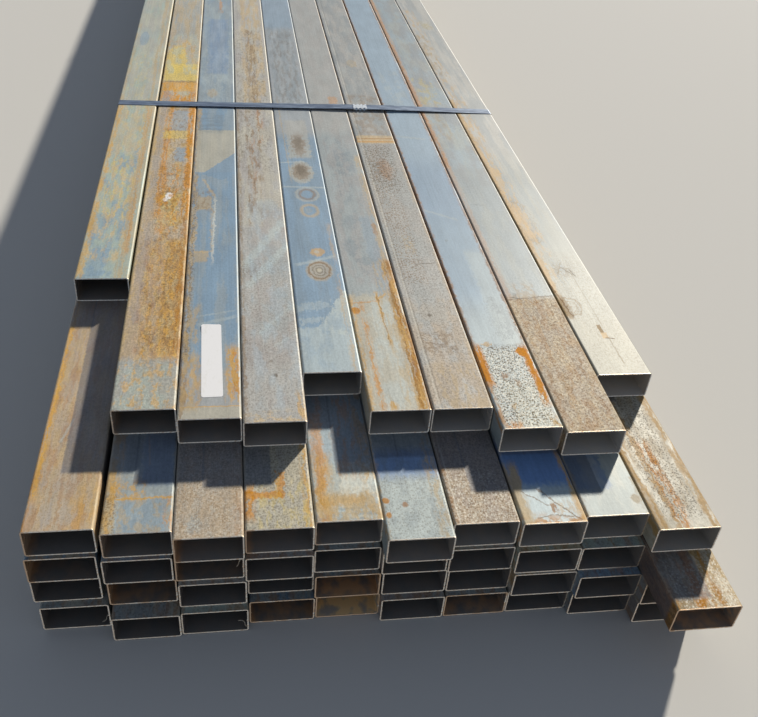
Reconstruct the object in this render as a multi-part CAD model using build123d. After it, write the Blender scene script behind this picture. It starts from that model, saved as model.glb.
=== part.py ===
"""Strapped bundle of fifty rectangular steel tubes: ten side by side, five layers high.

Millimetres, +Z up. +Y runs along the tubes, away from their staggered ends, and +X is to the
right as those ends are faced. The origin is under the middle of the whole bundle, on the floor.
Layers count from the floor up and columns from left to right.
"""
from build123d import *

import math
import os

# Tube stock: 4 x 2 inch, 14 gauge, in 20 foot lengths
TUBE_WIDTH = 101.6
TUBE_HEIGHT = 50.8
TUBE_WALL = 2.1
TUBE_CORNER_RADIUS = 4.2
TUBE_LENGTH = 6096.0

# Ridge that the seam weld leaves along the middle of one narrow wall, inside the tube
BEAD_WIDTH = 2.6
BEAD_HEIGHT = 0.9
BEAD_CREST_WIDTH = 1.2

# How far each tube's near end lies behind the one that sticks out furthest, left to right
END_SETBACKS = {
    5: (754, 365, 338, 325, 448, 343, 343, 289, 275, 420),
    4: (164, 154, 138, 148, 157, 115, 139, 132, 141, 107),
    3: (158, 148, 146, 138, 147, 136, 133, 123, 122, 0),
    2: (163, 150, 138, 155, 139, 138, 137, 120, 107, 88),
    1: (151, 123, 126, 139, 141, 127, 128, 129, 116, 92),
}

# Gaps between neighbours in a layer, left to right
SIDE_GAPS = {
    5: (4.0, 2.0, 1.5, 1.0, 0.3, 2.0, 2.0, 0.4, 0.4),
    4: (8.0, 1.0, 1.2, 1.4, 0.3, 1.8, 3.0, 0.3, 0.3),
    3: (7.5, 3.0, 1.5, 1.5, 1.2, 1.5, 1.8, 0.4, 0.3),
    2: (11.0, 3.0, 1.5, 0.3, 3.0, 1.5, 0.3, 0.3, 0.3),
    1: (6.0, 1.0, 1.5, 1.5, 0.3, 1.2, 1.2, 0.3, 0.3),
}

# Where each layer's left side lies, against the top layer's
LAYER_SHIFTS = {5: 0.0, 4: -3.5, 3: -6.0, 2: -6.5, 1: 2.0}

# Gap between a tube and the one under it. The left column lies looser, so it stands higher
LAYER_GAP = 0.3
LEFT_COLUMN_LAYER_GAP = 0.8

# Tubes whose seam weld is on the right wall, as (layer, column). The others have it on the left
SEAM_ON_RIGHT = {
    (1, 1), (2, 1), (1, 3), (3, 3), (4, 4), (1, 5), (2, 5), (3, 6), (1, 7), (5, 7), (2, 8), (4, 8),
}

# Steel strap: 1 1/4 inch wide
STRAP_WIDTH = 31.75
STRAP_THICKNESS = 0.8
STRAP_CLEARANCE = 0.3
STRAP_SLANT = 1.3
STRAP_BEND_RADIUS = 20.0
STRAP_STEP_LENGTH = 24.0
STRAP_BOW = 2.2
STRAP_NAMES = ("front", "middle", "rear")
FIRST_STRAP_FROM_ENDS = 1640.0
STRAP_SPACING = 1548.0

# Crimped seal on the overlap of each strap, and the strap ends that stick out of it
SEAL_LENGTH = 38.0
SEAL_THICKNESS = 0.9
SEAL_CLEARANCE = 0.25
SEAL_SLOT = 7.0
SEAL_COLUMN = 7
SEAL_FROM_COLUMN_EDGE = 17.0
UPPER_TAIL = 80.0
LOWER_TAIL = 55.0
NOTCH_LENGTH = 5.5
NOTCH_DEPTH = 4.5
NOTCH_OFFSETS = (-11.0, 0.0, 11.0)
NOTCH_CUT_HEIGHT = 16.0

# Tab that each notch leaves, bent down: the seal and both layers of strap, sheared as one
TAB_SIDE_GAP = 0.4
TAB_BEND = 28.0
TAB_THICKNESS = 3.4
TAB_ROOT_LENGTH = 0.5
TAB_ROOT_HEIGHT = 0.75

LAYERS = sorted(END_SETBACKS)
COLUMNS = range(1, len(END_SETBACKS[LAYERS[0]]) + 1)
LOW_TUBE_BOTTOM = STRAP_THICKNESS + STRAP_CLEARANCE
STRAP_STEP = STRAP_THICKNESS + STRAP_CLEARANCE


def tube_left(layer, column):
    """Left side of a tube, measured from the top layer's left side."""
    gaps = SIDE_GAPS[layer][: column - 1]
    return LAYER_SHIFTS[layer] + (column - 1) * TUBE_WIDTH + sum(gaps)


def tube_bottom(layer, column):
    """Underside of a tube, measured from the floor."""
    gap = LEFT_COLUMN_LAYER_GAP if column == COLUMNS[0] else LAYER_GAP
    return LOW_TUBE_BOTTOM + (layer - 1) * (TUBE_HEIGHT + gap)


def tube_corners(layer, column):
    """The four corners of a tube's section, as (x, z)."""
    left, bottom = tube_left(layer, column), tube_bottom(layer, column)
    right, top = left + TUBE_WIDTH, bottom + TUBE_HEIGHT
    return [(left, bottom), (right, bottom), (right, top), (left, top)]


def convex_outline(points):
    """The points that a taut band round all of them touches, clockwise seen along +Y."""
    def half(ordered):
        chain = []
        for point in ordered:
            while len(chain) > 1:
                (ax, az), (bx, bz) = chain[-2:]
                turn = (bx - ax) * (point[1] - az) - (bz - az) * (point[0] - ax)
                if turn < 0:
                    break
                chain.pop()
            chain.append(point)
        return chain[:-1]

    ordered = sorted(set(points))
    return half(ordered) + half(ordered[::-1])


def band_clearance(corner, middle):
    """A section corner moved out by the strap's clearance, away from the bundle's middle."""
    return tuple(
        value + math.copysign(STRAP_CLEARANCE, value - centre) for value, centre in zip(corner, middle)
    )


def make_tube():
    """One tube, its left lower corner and near end at the origin, with the seam on the right.

    The inner corners are flats that keep the wall's thickness across the corner.
    """
    width, height = TUBE_WIDTH - 2 * TUBE_WALL, TUBE_HEIGHT - 2 * TUBE_WALL
    inner_corner = (TUBE_CORNER_RADIUS - TUBE_WALL) * (2 - math.sqrt(2))
    wall = RectangleRounded(TUBE_WIDTH, TUBE_HEIGHT, TUBE_CORNER_RADIUS)
    wall -= chamfer(Rectangle(width, height).vertices(), inner_corner)
    foot = width / 2 + TUBE_WALL / 2
    crest = width / 2 - BEAD_HEIGHT
    bead = make_face(
        Polyline(
            (foot, -BEAD_WIDTH / 2),
            (width / 2, -BEAD_WIDTH / 2),
            (crest, -BEAD_CREST_WIDTH / 2),
            (crest, BEAD_CREST_WIDTH / 2),
            (width / 2, BEAD_WIDTH / 2),
            (foot, BEAD_WIDTH / 2),
            close=True,
        )
    )
    section = Plane.XZ * (wall + bead)
    solid = extrude(section, -TUBE_LENGTH)
    return Pos(TUBE_WIDTH / 2, 0, TUBE_HEIGHT / 2) * solid


def turned_over(tube):
    """The same tube rolled half a turn about its length, so that the seam is on the left."""
    centre = Pos(TUBE_WIDTH / 2, 0, TUBE_HEIGHT / 2)
    return centre * Rot(0, 180, 0) * centre.inverse() * tube


def strap_route(middle, seal_x):
    """Inner line of the strap as (x, z) points with a bend radius for each one in between.

    It starts at the lower end under the seal, goes right, down, left and up round the tubes, and
    steps up over its own start to end on top, past the seal. It lies flat on the left column,
    which stands highest, and bows up from there to the seal and down to the far right corner.
    """
    corners = [c for layer in LAYERS for column in COLUMNS for c in tube_corners(layer, column)]
    outline = [band_clearance(c, middle) for c in convex_outline(corners)]
    top_layer, left_column, right_column = LAYERS[-1], COLUMNS[0], COLUMNS[-1]
    level = tube_bottom(top_layer, left_column) + TUBE_HEIGHT + STRAP_CLEARANCE
    top_left = (tube_left(top_layer, left_column) - STRAP_CLEARANCE, level)
    top_right = (
        tube_left(top_layer, right_column) + TUBE_WIDTH + STRAP_CLEARANCE,
        tube_bottom(top_layer, right_column) + TUBE_HEIGHT + STRAP_CLEARANCE,
    )
    below_top = [point for point in outline if point[1] < top_right[1] - STRAP_CLEARANCE]
    right_side = sorted((p for p in below_top if p[0] > middle[0]), key=lambda p: -p[1])
    left_side = sorted((p for p in below_top if p[0] < middle[0]), key=lambda p: p[1])
    lower_end = seal_x - SEAL_LENGTH / 2 - LOWER_TAIL
    upper_end = seal_x + SEAL_LENGTH / 2 + UPPER_TAIL
    crest = level + STRAP_BOW
    fall = (upper_end + STRAP_STEP_LENGTH, crest)
    rise = (tube_left(top_layer, left_column) + TUBE_WIDTH, level)
    step_start = (lower_end - STRAP_STEP_LENGTH, crest)
    step_end = (lower_end - STRAP_CLEARANCE, crest + STRAP_STEP)
    bends = [fall, top_right, *right_side, *left_side, top_left, rise, step_start, step_end]
    sharp = TUBE_CORNER_RADIUS + STRAP_CLEARANCE
    square = {top_right, right_side[-1], left_side[0], top_left}
    radii = [sharp if point in square else STRAP_BEND_RADIUS for point in bends]
    return [(lower_end, crest), *bends, (upper_end, crest + STRAP_STEP)], radii


def outer_route(points, radii):
    """The strap's outer line, one thickness to the left of the inner one, bend for bend."""
    steps = [Vector(*b) - Vector(*a) for a, b in zip(points, points[1:])]
    lefts = [Vector(-step.Y, step.X).normalized() for step in steps]
    lefts = [lefts[0], *lefts, lefts[-1]]
    moved = []
    for point, before, after in zip(points, lefts, lefts[1:]):
        corner = Vector(*point) + (before + after) * (STRAP_THICKNESS / (1 + before.dot(after)))
        moved.append((corner.X, corner.Y))
    turns = [a.cross(b).Z for a, b in zip(steps, steps[1:])]
    bends = [r + math.copysign(STRAP_THICKNESS, -turn) for r, turn in zip(radii, turns)]
    return moved, bends


def make_strap(middle, seal_x):
    """One strap at y = 0 round all the tubes, its two edges slanting slightly across them."""
    points, radii = strap_route(middle, seal_x)
    outer_points, outer_radii = outer_route(points, radii)
    inner = FilletPolyline(*points, radius=radii)
    outer = FilletPolyline(*outer_points, radius=outer_radii)
    section = make_face(
        inner + outer + Line(points[0], outer_points[0]) + Line(points[-1], outer_points[-1])
    )
    span = max(x for x, _ in points) - min(x for x, _ in points)
    half_blank = STRAP_WIDTH + span * math.sin(math.radians(STRAP_SLANT))
    band = extrude(Plane.XZ * section, half_blank, both=True)
    cut = Pos(middle[0], 0, middle[1]) * Rot(0, 0, -STRAP_SLANT) * Box(2 * span, STRAP_WIDTH, span)
    return band & cut


def seal_notches():
    """Blocks that the sealer bites out of both edges, round a seal centred on the origin."""
    block = Box(NOTCH_LENGTH, 2 * NOTCH_DEPTH, NOTCH_CUT_HEIGHT)
    edge = STRAP_WIDTH / 2
    return [
        Pos(along, side * edge, 0) * block
        for along in NOTCH_OFFSETS
        for side in (-1, 1)
    ]


def make_tab(seal_width, seal_height):
    """The bent tab of a notch at the middle of the seal's +Y edge, with a root in its lower wall."""
    hinge = Vector(STRAP_WIDTH / 2 - NOTCH_DEPTH, -seal_height / 2)
    angle = math.radians(TAB_BEND)
    outward = Vector(math.cos(angle), -math.sin(angle)) * (seal_width / 2 - hinge.X)
    upward = Vector(math.sin(angle), math.cos(angle)) * TAB_THICKNESS
    root_top = hinge + upward * (TAB_ROOT_HEIGHT / upward.Y)
    profile = [
        hinge - Vector(TAB_ROOT_LENGTH, 0),
        hinge,
        hinge + outward,
        hinge + outward + upward,
        hinge + upward,
        root_top,
        Vector(hinge.X - TAB_ROOT_LENGTH, root_top.Y),
    ]
    face = make_face(Polyline(*[(point.X, point.Y) for point in profile], close=True))
    return extrude(Plane.YZ * face, NOTCH_LENGTH / 2 - TAB_SIDE_GAP, both=True)


def make_seal():
    """Folded sleeve round both strap layers, centred on the origin, open underneath and notched."""
    width = STRAP_WIDTH + 2 * SEAL_CLEARANCE
    height = STRAP_STEP + STRAP_THICKNESS + 2 * SEAL_CLEARANCE
    full_width, full_height = width + 2 * SEAL_THICKNESS, height + 2 * SEAL_THICKNESS
    outside = Rectangle(full_width, full_height)
    outside = chamfer(outside.vertices(), SEAL_THICKNESS / 2)
    slot = Pos(0, -height / 2 - SEAL_THICKNESS / 2) * Rectangle(SEAL_SLOT, 2 * SEAL_THICKNESS)
    section = Plane.YZ * (outside - Rectangle(width, height) - slot)
    sleeve = extrude(section, SEAL_LENGTH / 2, both=True)
    for notch in seal_notches():
        sleeve -= notch
    tab = make_tab(full_width, full_height)
    for along in NOTCH_OFFSETS:
        for turn in (0, 180):
            sleeve += Pos(along, 0, 0) * Rot(0, 0, turn) * tab
    return sleeve


def main():
    """Places every piece and writes one STEP file for each."""
    spans = [(tube_left(n, COLUMNS[0]), tube_left(n, COLUMNS[-1]) + TUBE_WIDTH) for n in LAYERS]
    low_x, high_x = min(s[0] for s in spans), max(s[1] for s in spans)
    top = tube_bottom(LAYERS[-1], COLUMNS[0]) + TUBE_HEIGHT
    middle = ((low_x + high_x) / 2, (LOW_TUBE_BOTTOM + top) / 2)
    setbacks = [value for layer in END_SETBACKS.values() for value in layer]
    full_length = TUBE_LENGTH + max(setbacks) - min(setbacks)
    home = Pos(-middle[0], -full_length / 2 - min(setbacks), 0)

    pieces = {}
    seam_right = make_tube()
    seam_left = turned_over(seam_right)
    for layer in LAYERS:
        for column in COLUMNS:
            tube = seam_right if (layer, column) in SEAM_ON_RIGHT else seam_left
            place = Pos(tube_left(layer, column), END_SETBACKS[layer][column - 1], tube_bottom(layer, column))
            pieces[f"tube_r{layer}_c{column:02d}"] = home * place * tube

    seal_x = tube_left(LAYERS[-1], SEAL_COLUMN) + SEAL_FROM_COLUMN_EDGE + SEAL_LENGTH / 2
    seal_z = top + STRAP_CLEARANCE + STRAP_BOW + (STRAP_STEP + STRAP_THICKNESS) / 2
    slant = Pos(middle[0], 0, 0) * Rot(0, 0, -STRAP_SLANT) * Pos(seal_x - middle[0], 0, seal_z)
    strap = make_strap(middle, seal_x)
    for notch in seal_notches():
        strap -= slant * notch
    seal = slant * make_seal()
    for number, name in enumerate(STRAP_NAMES):
        along = Pos(0, FIRST_STRAP_FROM_ENDS + number * STRAP_SPACING, 0)
        pieces[f"strap_{name}"] = home * along * strap
        pieces[f"seal_{name}"] = home * along * seal

    os.makedirs("parts", exist_ok=True)
    for name, piece in pieces.items():
        export_step(piece, f"parts/{name}.step")
    print(len(pieces), "pieces written")


main()
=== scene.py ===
import math
import random
from collections import namedtuple
from functools import partial

import bmesh
import bpy
from mathutils import Matrix, Vector


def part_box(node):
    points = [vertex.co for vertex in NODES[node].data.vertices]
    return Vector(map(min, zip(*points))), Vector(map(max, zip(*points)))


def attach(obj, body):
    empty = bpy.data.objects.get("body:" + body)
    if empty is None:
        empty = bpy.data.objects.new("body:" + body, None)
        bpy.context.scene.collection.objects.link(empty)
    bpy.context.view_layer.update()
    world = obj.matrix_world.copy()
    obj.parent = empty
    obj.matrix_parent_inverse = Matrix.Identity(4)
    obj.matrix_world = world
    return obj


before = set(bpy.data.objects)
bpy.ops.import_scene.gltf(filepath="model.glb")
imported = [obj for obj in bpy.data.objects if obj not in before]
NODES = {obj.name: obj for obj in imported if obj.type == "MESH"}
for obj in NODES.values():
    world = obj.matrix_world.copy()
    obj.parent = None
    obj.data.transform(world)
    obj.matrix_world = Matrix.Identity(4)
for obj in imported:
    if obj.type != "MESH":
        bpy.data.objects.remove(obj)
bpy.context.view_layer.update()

bl_info = {
    "name": "Steel tube bundle",
    "version": (1, 0, 0),
    "blender": (4, 5, 0),
    "location": "3D View > Sidebar > Bundle",
    "description": "Finishes a strapped bundle of mill-scaled rectangular steel tubes and sets its stage",
    "category": "Object",
}

# One millimetre, in the frame's metres.
MM = 0.001

TUBES, STRAPS, SEALS = (
    sorted(name for name in NODES if name.startswith(start)) for start in ("tube_", "strap_", "seal_")
)

# The size of a tube, in millimetres. All of them are alike.
TUBE_LOW, TUBE_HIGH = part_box(TUBES[0])
TUBE_WIDTH, TUBE_LENGTH, TUBE_HEIGHT = (side / MM for side in TUBE_HIGH - TUBE_LOW)
TUBE_WALL = 2.1


def linear(hex_colour):
    """An sRGB hex colour as linear RGB."""
    channels = [int(hex_colour[i : i + 2], 16) / 255 for i in (1, 3, 5)]
    return tuple(c / 12.92 if c <= 0.04045 else ((c + 0.055) / 1.055) ** 2.4 for c in channels)


def colour_property(name, description, hex_colour):
    """A colour that the panel shows, with its sRGB hex default."""
    return bpy.props.FloatVectorProperty(
        name=name, description=description, default=linear(hex_colour),
        subtype="COLOR", size=3, min=0, max=1,
    )


def length_property(name, description, millimetres):
    """A length that the panel shows, with its default in millimetres."""
    return bpy.props.FloatProperty(
        name=name, description=description, default=millimetres * MM, unit="LENGTH", precision=5
    )


class SteelColours(bpy.types.PropertyGroup):
    """Colours of rolled and weathered mild steel, as they look by daylight."""

    blue: colour_property("Blue scale", "Unbroken mill scale", "#7e99ae")
    sky: colour_property("Light blue scale", "Unbroken mill scale, at a low angle", "#9fb6c3")
    # Painted shadow colour: a dark blue scale that the lower tubes get where the tubes above shade them.
    night: colour_property("Dark blue scale", "Thick mill scale that has stayed covered", "#565d6a")
    # Darker blue scale. On the lower tubes it is painted shade, laid where the tubes above cast their
    # shadows.
    deep: colour_property("Deep blue scale", "Unbroken mill scale out of the sun", "#5d84b8")
    slate: colour_property("Dark scale", "Thick mill scale", "#77858c")
    mist: colour_property("Pale blue-grey", "Thin mill scale", "#b2bdba")
    steel: colour_property("Steel grey", "Wiped or thinly scaled steel", "#99a2a2")
    grey: colour_property("Warm grey", "Dusty steel", "#a8a7a1")
    green: colour_property("Grey green", "Dust over mill scale", "#a2b0a6")
    beige: colour_property("Beige", "Dust and dried water", "#b6b09b")
    mauve: colour_property("Mauve grey", "Thin red oxide over scale", "#988f8a")
    pink: colour_property("Pinkish brown", "Thin even rust", "#b3a188")
    tan: colour_property("Tan", "Light rust", "#b99f6e")
    peach: colour_property("Peach", "Light rust on bare steel", "#cbae78")
    ochre: colour_property("Ochre", "Yellow rust", "#cb9c42")
    yellow: colour_property("Yellow", "Yellow rust in dried water", "#d3bb58")
    gold: colour_property("Gold", "Thin rust on bright steel", "#f5c878")
    orange: colour_property("Orange", "Fresh rust", "#c9871c")
    flame: colour_property("Bright orange", "Fresh rust, full in the sun", "#ec990c")
    rust: colour_property("Rust", "Deeper rust", "#a36e2e")
    brown: colour_property("Brown", "Old rust", "#7f6440")
    umber: colour_property("Umber", "Pits and specks", "#5d503c")
    cream: colour_property("Cream", "Bare steel, dusty", "#dedccb")
    white: colour_property("White", "Bright bare steel", "#f2f1e8")
    # Sawn steel, made paler than the bare steel alone as a painted highlight on the sawn ends.
    rim: colour_property("Sawn edge", "Sawn end of a tube", "#efe3cd")
    rim_rust: colour_property("Rusty sawn edge", "Sawn end that has rusted", "#cfac88")
    inside: colour_property("Inside", "Mill scale inside a tube", "#7d7b77")
    inside_rust: colour_property("Inside rust", "Rust inside a tube", "#c99e74")


# How far each colour stands for rust, which is rough and has hardly any lustre, and the same for the rest.
RUST_OF = {
    "beige": 0.3, "pink": 0.5, "tan": 0.6, "peach": 0.5, "ochre": 0.8, "gold": 0.3, "yellow": 0.6,
    "orange": 1.0, "flame": 1.0, "rust": 1.0, "brown": 0.9, "umber": 0.9, "green": 0.3, "mauve": 0.3,
    "grey": 0.2,
}
LITTLE_RUST = 0.1


class StrapColours(bpy.types.PropertyGroup):
    """Colours of the straps and their seals."""

    strap: colour_property("Strap", "Blue-black strapping steel", "#55647a")
    strap_wear: colour_property("Strap wear", "Rubbed streaks on the strap", "#8293a6")
    seal: colour_property("Seal", "Galvanised seal", "#eef3f6")
    seal_dull: colour_property("Dull seal", "Dull galvanising", "#b4c0ca")


class LabelSizes(bpy.types.PropertyGroup):
    """The bare paper label."""

    length: length_property("Length", "Along the tube", 205)
    width: length_property("Width", "Across the tube", 35)
    thickness: length_property("Thickness", "Paper and glue", 0.25)
    corner: length_property("Corner", "Corner radius", 4)
    lift: length_property("Lift", "How far one corner has come off", 1.2)
    paper: colour_property("Paper", "White label paper", "#fdfdfd")
    dust: colour_property("Dust", "Dust and scuffs on the paper", "#ebebe8")


class StageLook(bpy.types.PropertyGroup):
    """Floor, light and background."""

    floor: colour_property("Floor", "Plain pale floor", "#d6d5d0")
    low_sky: colour_property("Low background", "Background near the horizon", "#dcdfe2")
    high_sky: colour_property("High background", "Background overhead, which the steel reflects", "#6f87a8")
    fill: colour_property("Fill", "Light from all round", "#becbe2")
    fill_strength: bpy.props.FloatProperty(
        name="Fill strength", description="Light from all round", default=0.3, min=0
    )
    key_colour: colour_property("Key colour", "Colour of the key light", "#fff7ea")
    key_strength: bpy.props.FloatProperty(
        name="Key strength", description="Key light from behind, on the right", default=5.0, min=0
    )
    key_spread: bpy.props.FloatProperty(
        name="Key softness", description="Spread of the key light", default=math.radians(2.5),
        subtype="ANGLE",
    )


def add(tree, kind, inputs=None, **settings):
    """Adds a node. inputs gives its sockets what to link from, a node or a socket, or a plain value."""
    node = tree.nodes.new("ShaderNode" + kind)
    for name, value in settings.items():
        setattr(node, name, value)
    for name, value in (inputs or {}).items():
        if isinstance(value, bpy.types.Node):
            tree.links.new(value.outputs[0], node.inputs[name])
        elif isinstance(value, bpy.types.NodeSocket):
            tree.links.new(value, node.inputs[name])
        else:
            node.inputs[name].default_value = value
    return node


# The most of the light on it that a surface gives back.
PALEST = 0.95


def with_alpha(colour, gain=1.0):
    """A linear colour, made lighter or darker, with full opacity, as a colour socket takes it."""
    return (*(min(channel * gain, PALEST) for channel in colour), 1.0)


def per(*lengths):
    """The Mapping scale that gives a pattern these lengths, in the unit that the node's input is in."""
    return tuple(1 / length for length in lengths)


def new_material(name):
    """A new material with an empty tree, and a function that adds a node to it."""
    material = bpy.data.materials.new(name)
    material.use_nodes = True
    material.node_tree.nodes.clear()
    return material, partial(add, material.node_tree)


# One patch, band, streak, ring or field of specks on a tube. Lengths are millimetres: along from
# the tube's near end, and across the top from its left edge, on down the sides.
Mark = namedtuple("Mark", "colour centre half turn fade wobble oval hollow grain level crisp form amount")

# The whole of a tube's surface, and a little more.
ALONG_ALL, ACROSS_ALL = (-90, 6300), (-90, 190)

# How far ragged edges stray, and how much more slowly they fade along the tube, where water draws them out.
RAGGED = 9
DRAWN_OUT = 2.5

# A mark shows where its grain stands above a level, which sinks as the mark's share of its place grows.
# Noise covers half of it at NOISE_HALF. Dots are cones round points, and cover DOTS_SHARE of it at 0.
NOISE_HALF, NOISE_RANGE = 0.5, 0.34
DOTS_SHARE, DOTS_RANGE = 0.4, 0.35


def mark(colour, along=ALONG_ALL, across=ACROSS_ALL, amount=0.6, fade=(6, 3), wobble=3, turn=0, oval=False,
         hollow=False, grain=None, cover=0.5, crisp=0.05, form="blotches"):
    """A mark over a rectangle or an oval.

    grain is the size of its blotches, dots or veins, and cover is about the share that they fill.
    """
    centre = (sum(along) / 2, sum(across) / 2)
    half = ((along[1] - along[0]) / 2, (across[1] - across[0]) / 2)
    if form == "dots":
        level = DOTS_RANGE * (DOTS_SHARE - cover)
    else:
        level = NOISE_HALF + NOISE_RANGE * (0.5 - cover)
    return Mark(colour, centre, half, turn, fade, wobble, oval, hollow, grain, level, crisp, form, amount)


def patch(colour, along, across, amount=0.6, soft=4, **options):
    """A ragged patch."""
    options.setdefault("wobble", RAGGED)
    return mark(colour, along, across, amount, fade=(DRAWN_OUT * soft, soft), **options)


def mottle(colour, along=ALONG_ALL, across=ACROSS_ALL, cover=0.5, amount=0.6, size=(60, 14), **options):
    """Soft blotches, drawn out along the tube as rolling and running water leave them."""
    options.setdefault("crisp", 0.085)
    return mark(colour, along, across, amount, fade=(30, 8), wobble=5, grain=size, cover=cover, **options)


def speckle(colour, along=ALONG_ALL, across=ACROSS_ALL, cover=0.4, amount=0.4, size=3.4):
    """Specks, a little longer than wide. Real pits are under a millimetre: these are coarser, to show."""
    return mark(colour, along, across, amount, fade=(20, 8), wobble=1.5, grain=(1.25 * size, size),
                cover=cover, crisp=0.08, form="dots")


def spot(colour, at, radius, amount=0.6, soft=3, **options):
    """An oval mark round a point."""
    along, across = ((middle - reach, middle + reach) for middle, reach in zip(at, radius))
    return mark(colour, along, across, amount, fade=(soft, soft), oval=True, **options)


def ring(colour, at, radius, amount=0.6, width=3, **options):
    """An oval outline round a point."""
    return spot(colour, at, radius, amount, soft=width, hollow=True, **options)


def line(colour, start, end, width=2.5, amount=0.6, wobble=2):
    """A streak from one point to another, fading at its ends and sides."""
    length = math.dist(start, end)
    middle = [(a + b) / 2 for a, b in zip(start, end)]
    return mark(colour, (middle[0] - length / 2, middle[0] + length / 2),
                (middle[1] - width / 2, middle[1] + width / 2), amount,
                fade=(max(2, length / 8), max(1.2, width / 2)), wobble=wobble,
                turn=math.degrees(math.atan2(end[1] - start[1], end[0] - start[0])))


def box_outline(colour, along, across, amount=0.5, width=3, **options):
    """A ragged outline of a rectangle, as a tide mark leaves."""
    options.setdefault("wobble", RAGGED)
    return mark(colour, along, across, amount, fade=(width, width), hollow=True, **options)


# Rubbed and dusty corners, which every tube has.
EDGE_MARKS = (
    mottle("beige", ALONG_ALL, (-3, 2), 0.6, 0.45, (70, 4)),
    mottle("beige", ALONG_ALL, (100, 105), 0.6, 0.45, (70, 4)),
)


# Each mark takes its place on the surface from the mark below, moved by a millionth of a millimetre at
# most, so that the renderer works the marks out one after another and has room for all of them.
CHAIN_SHIFT = 1e-6


def kind_of(one):
    """Which nodes a mark needs: where it lies, its grain's form, and whether it is turned or hollow."""
    whole = (ALONG_ALL[1] - ALONG_ALL[0]) / 2, (ACROSS_ALL[1] - ACROSS_ALL[0]) / 2
    if one.oval:
        where = "oval"
    elif one.half == whole:
        where = "everywhere"
    else:
        where = "box"
    return where, one.form if one.grain else "plain", bool(one.turn), one.hollow


def make_mark_group(kind):
    """The node group that lays a mark of one kind over the colour and the rust below it."""
    where, form, turned, hollow = kind
    words = ["Mark", where, form] + ["turned"] * turned + ["hollow"] * hollow
    tree = bpy.data.node_groups.new(" ".join(words), "ShaderNodeTree")
    sockets = [("Surface", "Vector"), ("Rag", "Vector"), ("Colour below", "Color"), ("Rust below", "Float"),
               ("Colour", "Color"), ("Rust", "Float"), ("Wobble", "Float"), ("Amount", "Float")]
    if where != "everywhere":
        sockets += [("Centre", "Vector"), ("Half", "Vector"), ("Fade", "Vector")]
    if turned:
        sockets += [("Turn", "Float")]
    if form != "plain":
        sockets += [("Grain", "Vector"), ("Low", "Float"), ("High", "Float"), ("Seed", "Vector")]
    results = [("Surface", "Vector"), ("Colour", "Color"), ("Rust", "Float")]
    for way, rows in (("INPUT", sockets), ("OUTPUT", results)):
        for socket, holds in rows:
            tree.interface.new_socket(socket, in_out=way, socket_type="NodeSocket" + holds)
    given = tree.nodes.new("NodeGroupInput").outputs
    put = partial(add, tree)
    place = put("VectorMath", {0: given["Rag"], 1: given["Wobble"], 2: given["Surface"]},
                operation="MULTIPLY_ADD")
    mask = given["Amount"]
    if where != "everywhere":
        straight = place
        if turned:
            straight = put("VectorRotate", {"Vector": place, "Center": given["Centre"],
                                            "Angle": given["Turn"]},
                           rotation_type="Z_AXIS", invert=True)
        offset = put("VectorMath", {0: straight, 1: given["Centre"]}, operation="SUBTRACT")
        offset = put("VectorMath", {0: offset}, operation="ABSOLUTE")
        # How far inside the edge the place is, counted in fades.
        if where == "box":
            inward = put("VectorMath", {0: given["Half"], 1: offset}, operation="SUBTRACT")
            inward = put("VectorMath", {0: inward, 1: given["Fade"]}, operation="DIVIDE")
            sides = put("SeparateXYZ", {0: inward}).outputs
            depth = put("Math", {0: sides[0], 1: sides[1]}, operation="MINIMUM")
        else:
            outward = put("VectorMath", {0: offset, 1: given["Half"]}, operation="DIVIDE")
            outward = put("VectorMath", {0: outward}, operation="LENGTH").outputs["Value"]
            fades = put("VectorMath", {0: given["Half"], 1: given["Fade"]}, operation="DIVIDE")
            fades = put("SeparateXYZ", {0: fades}).outputs[1]
            depth = put("Math", {0: 1.0, 1: outward}, operation="SUBTRACT")
            depth = put("Math", {0: depth, 1: fades}, operation="MULTIPLY")
        if hollow:
            depth = put("Math", {0: depth}, operation="ABSOLUTE")
            depth = put("Math", {0: 0.5, 1: depth}, operation="SUBTRACT")
        inside = put("MapRange", {0: depth, 1: -0.5, 2: 0.5}, interpolation_type="SMOOTHSTEP")
        mask = put("Math", {0: inside, 1: mask}, operation="MULTIPLY")
    if form != "plain":
        cell = put("VectorMath", {0: place, 1: given["Grain"]}, operation="DIVIDE")
        cell = put("VectorMath", {0: cell, 1: given["Seed"]}, operation="ADD")
        # Each dot is a cone of its own height, and veins run where the noise crosses its middle.
        if form == "dots":
            dot = put("TexVoronoi", {"Vector": cell, "Scale": 1.0}, voronoi_dimensions="2D").outputs
            reach = put("Math", {0: dot["Color"], 1: 0.6}, operation="MULTIPLY")
            value = put("Math", {0: reach, 1: dot["Distance"]}, operation="SUBTRACT")
        else:
            value = put("TexNoise", {"Vector": cell, "Scale": 1.0, "Detail": 3.5, "Roughness": 0.62},
                        noise_dimensions="2D")
        if form == "veins":
            value = put("Math", {0: value, 1: 0.5}, operation="SUBTRACT")
            value = put("Math", {0: value}, operation="ABSOLUTE")
            value = put("Math", {0: value, 1: -2.0, 2: 0.62}, operation="MULTIPLY_ADD")
        grain = put("MapRange", {0: value, 1: given["Low"], 2: given["High"]},
                    interpolation_type="SMOOTHSTEP")
        mask = put("Math", {0: mask, 1: grain}, operation="MULTIPLY")
    rust = put("Mix", {0: mask, 2: given["Rust below"], 3: given["Rust"]})
    colour = put("MixRGB", {0: mask, 1: given["Colour below"], 2: given["Colour"]})
    passed_on = put("VectorMath", {0: rust, 1: (CHAIN_SHIFT, CHAIN_SHIFT, 0.0), 2: given["Surface"]},
                    operation="MULTIPLY_ADD")
    result = tree.nodes.new("NodeGroupOutput")
    tree.links.new(passed_on.outputs[0], result.inputs["Surface"])
    tree.links.new(colour.outputs[0], result.inputs["Colour"])
    tree.links.new(rust.outputs[0], result.inputs["Rust"])
    return tree


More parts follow.
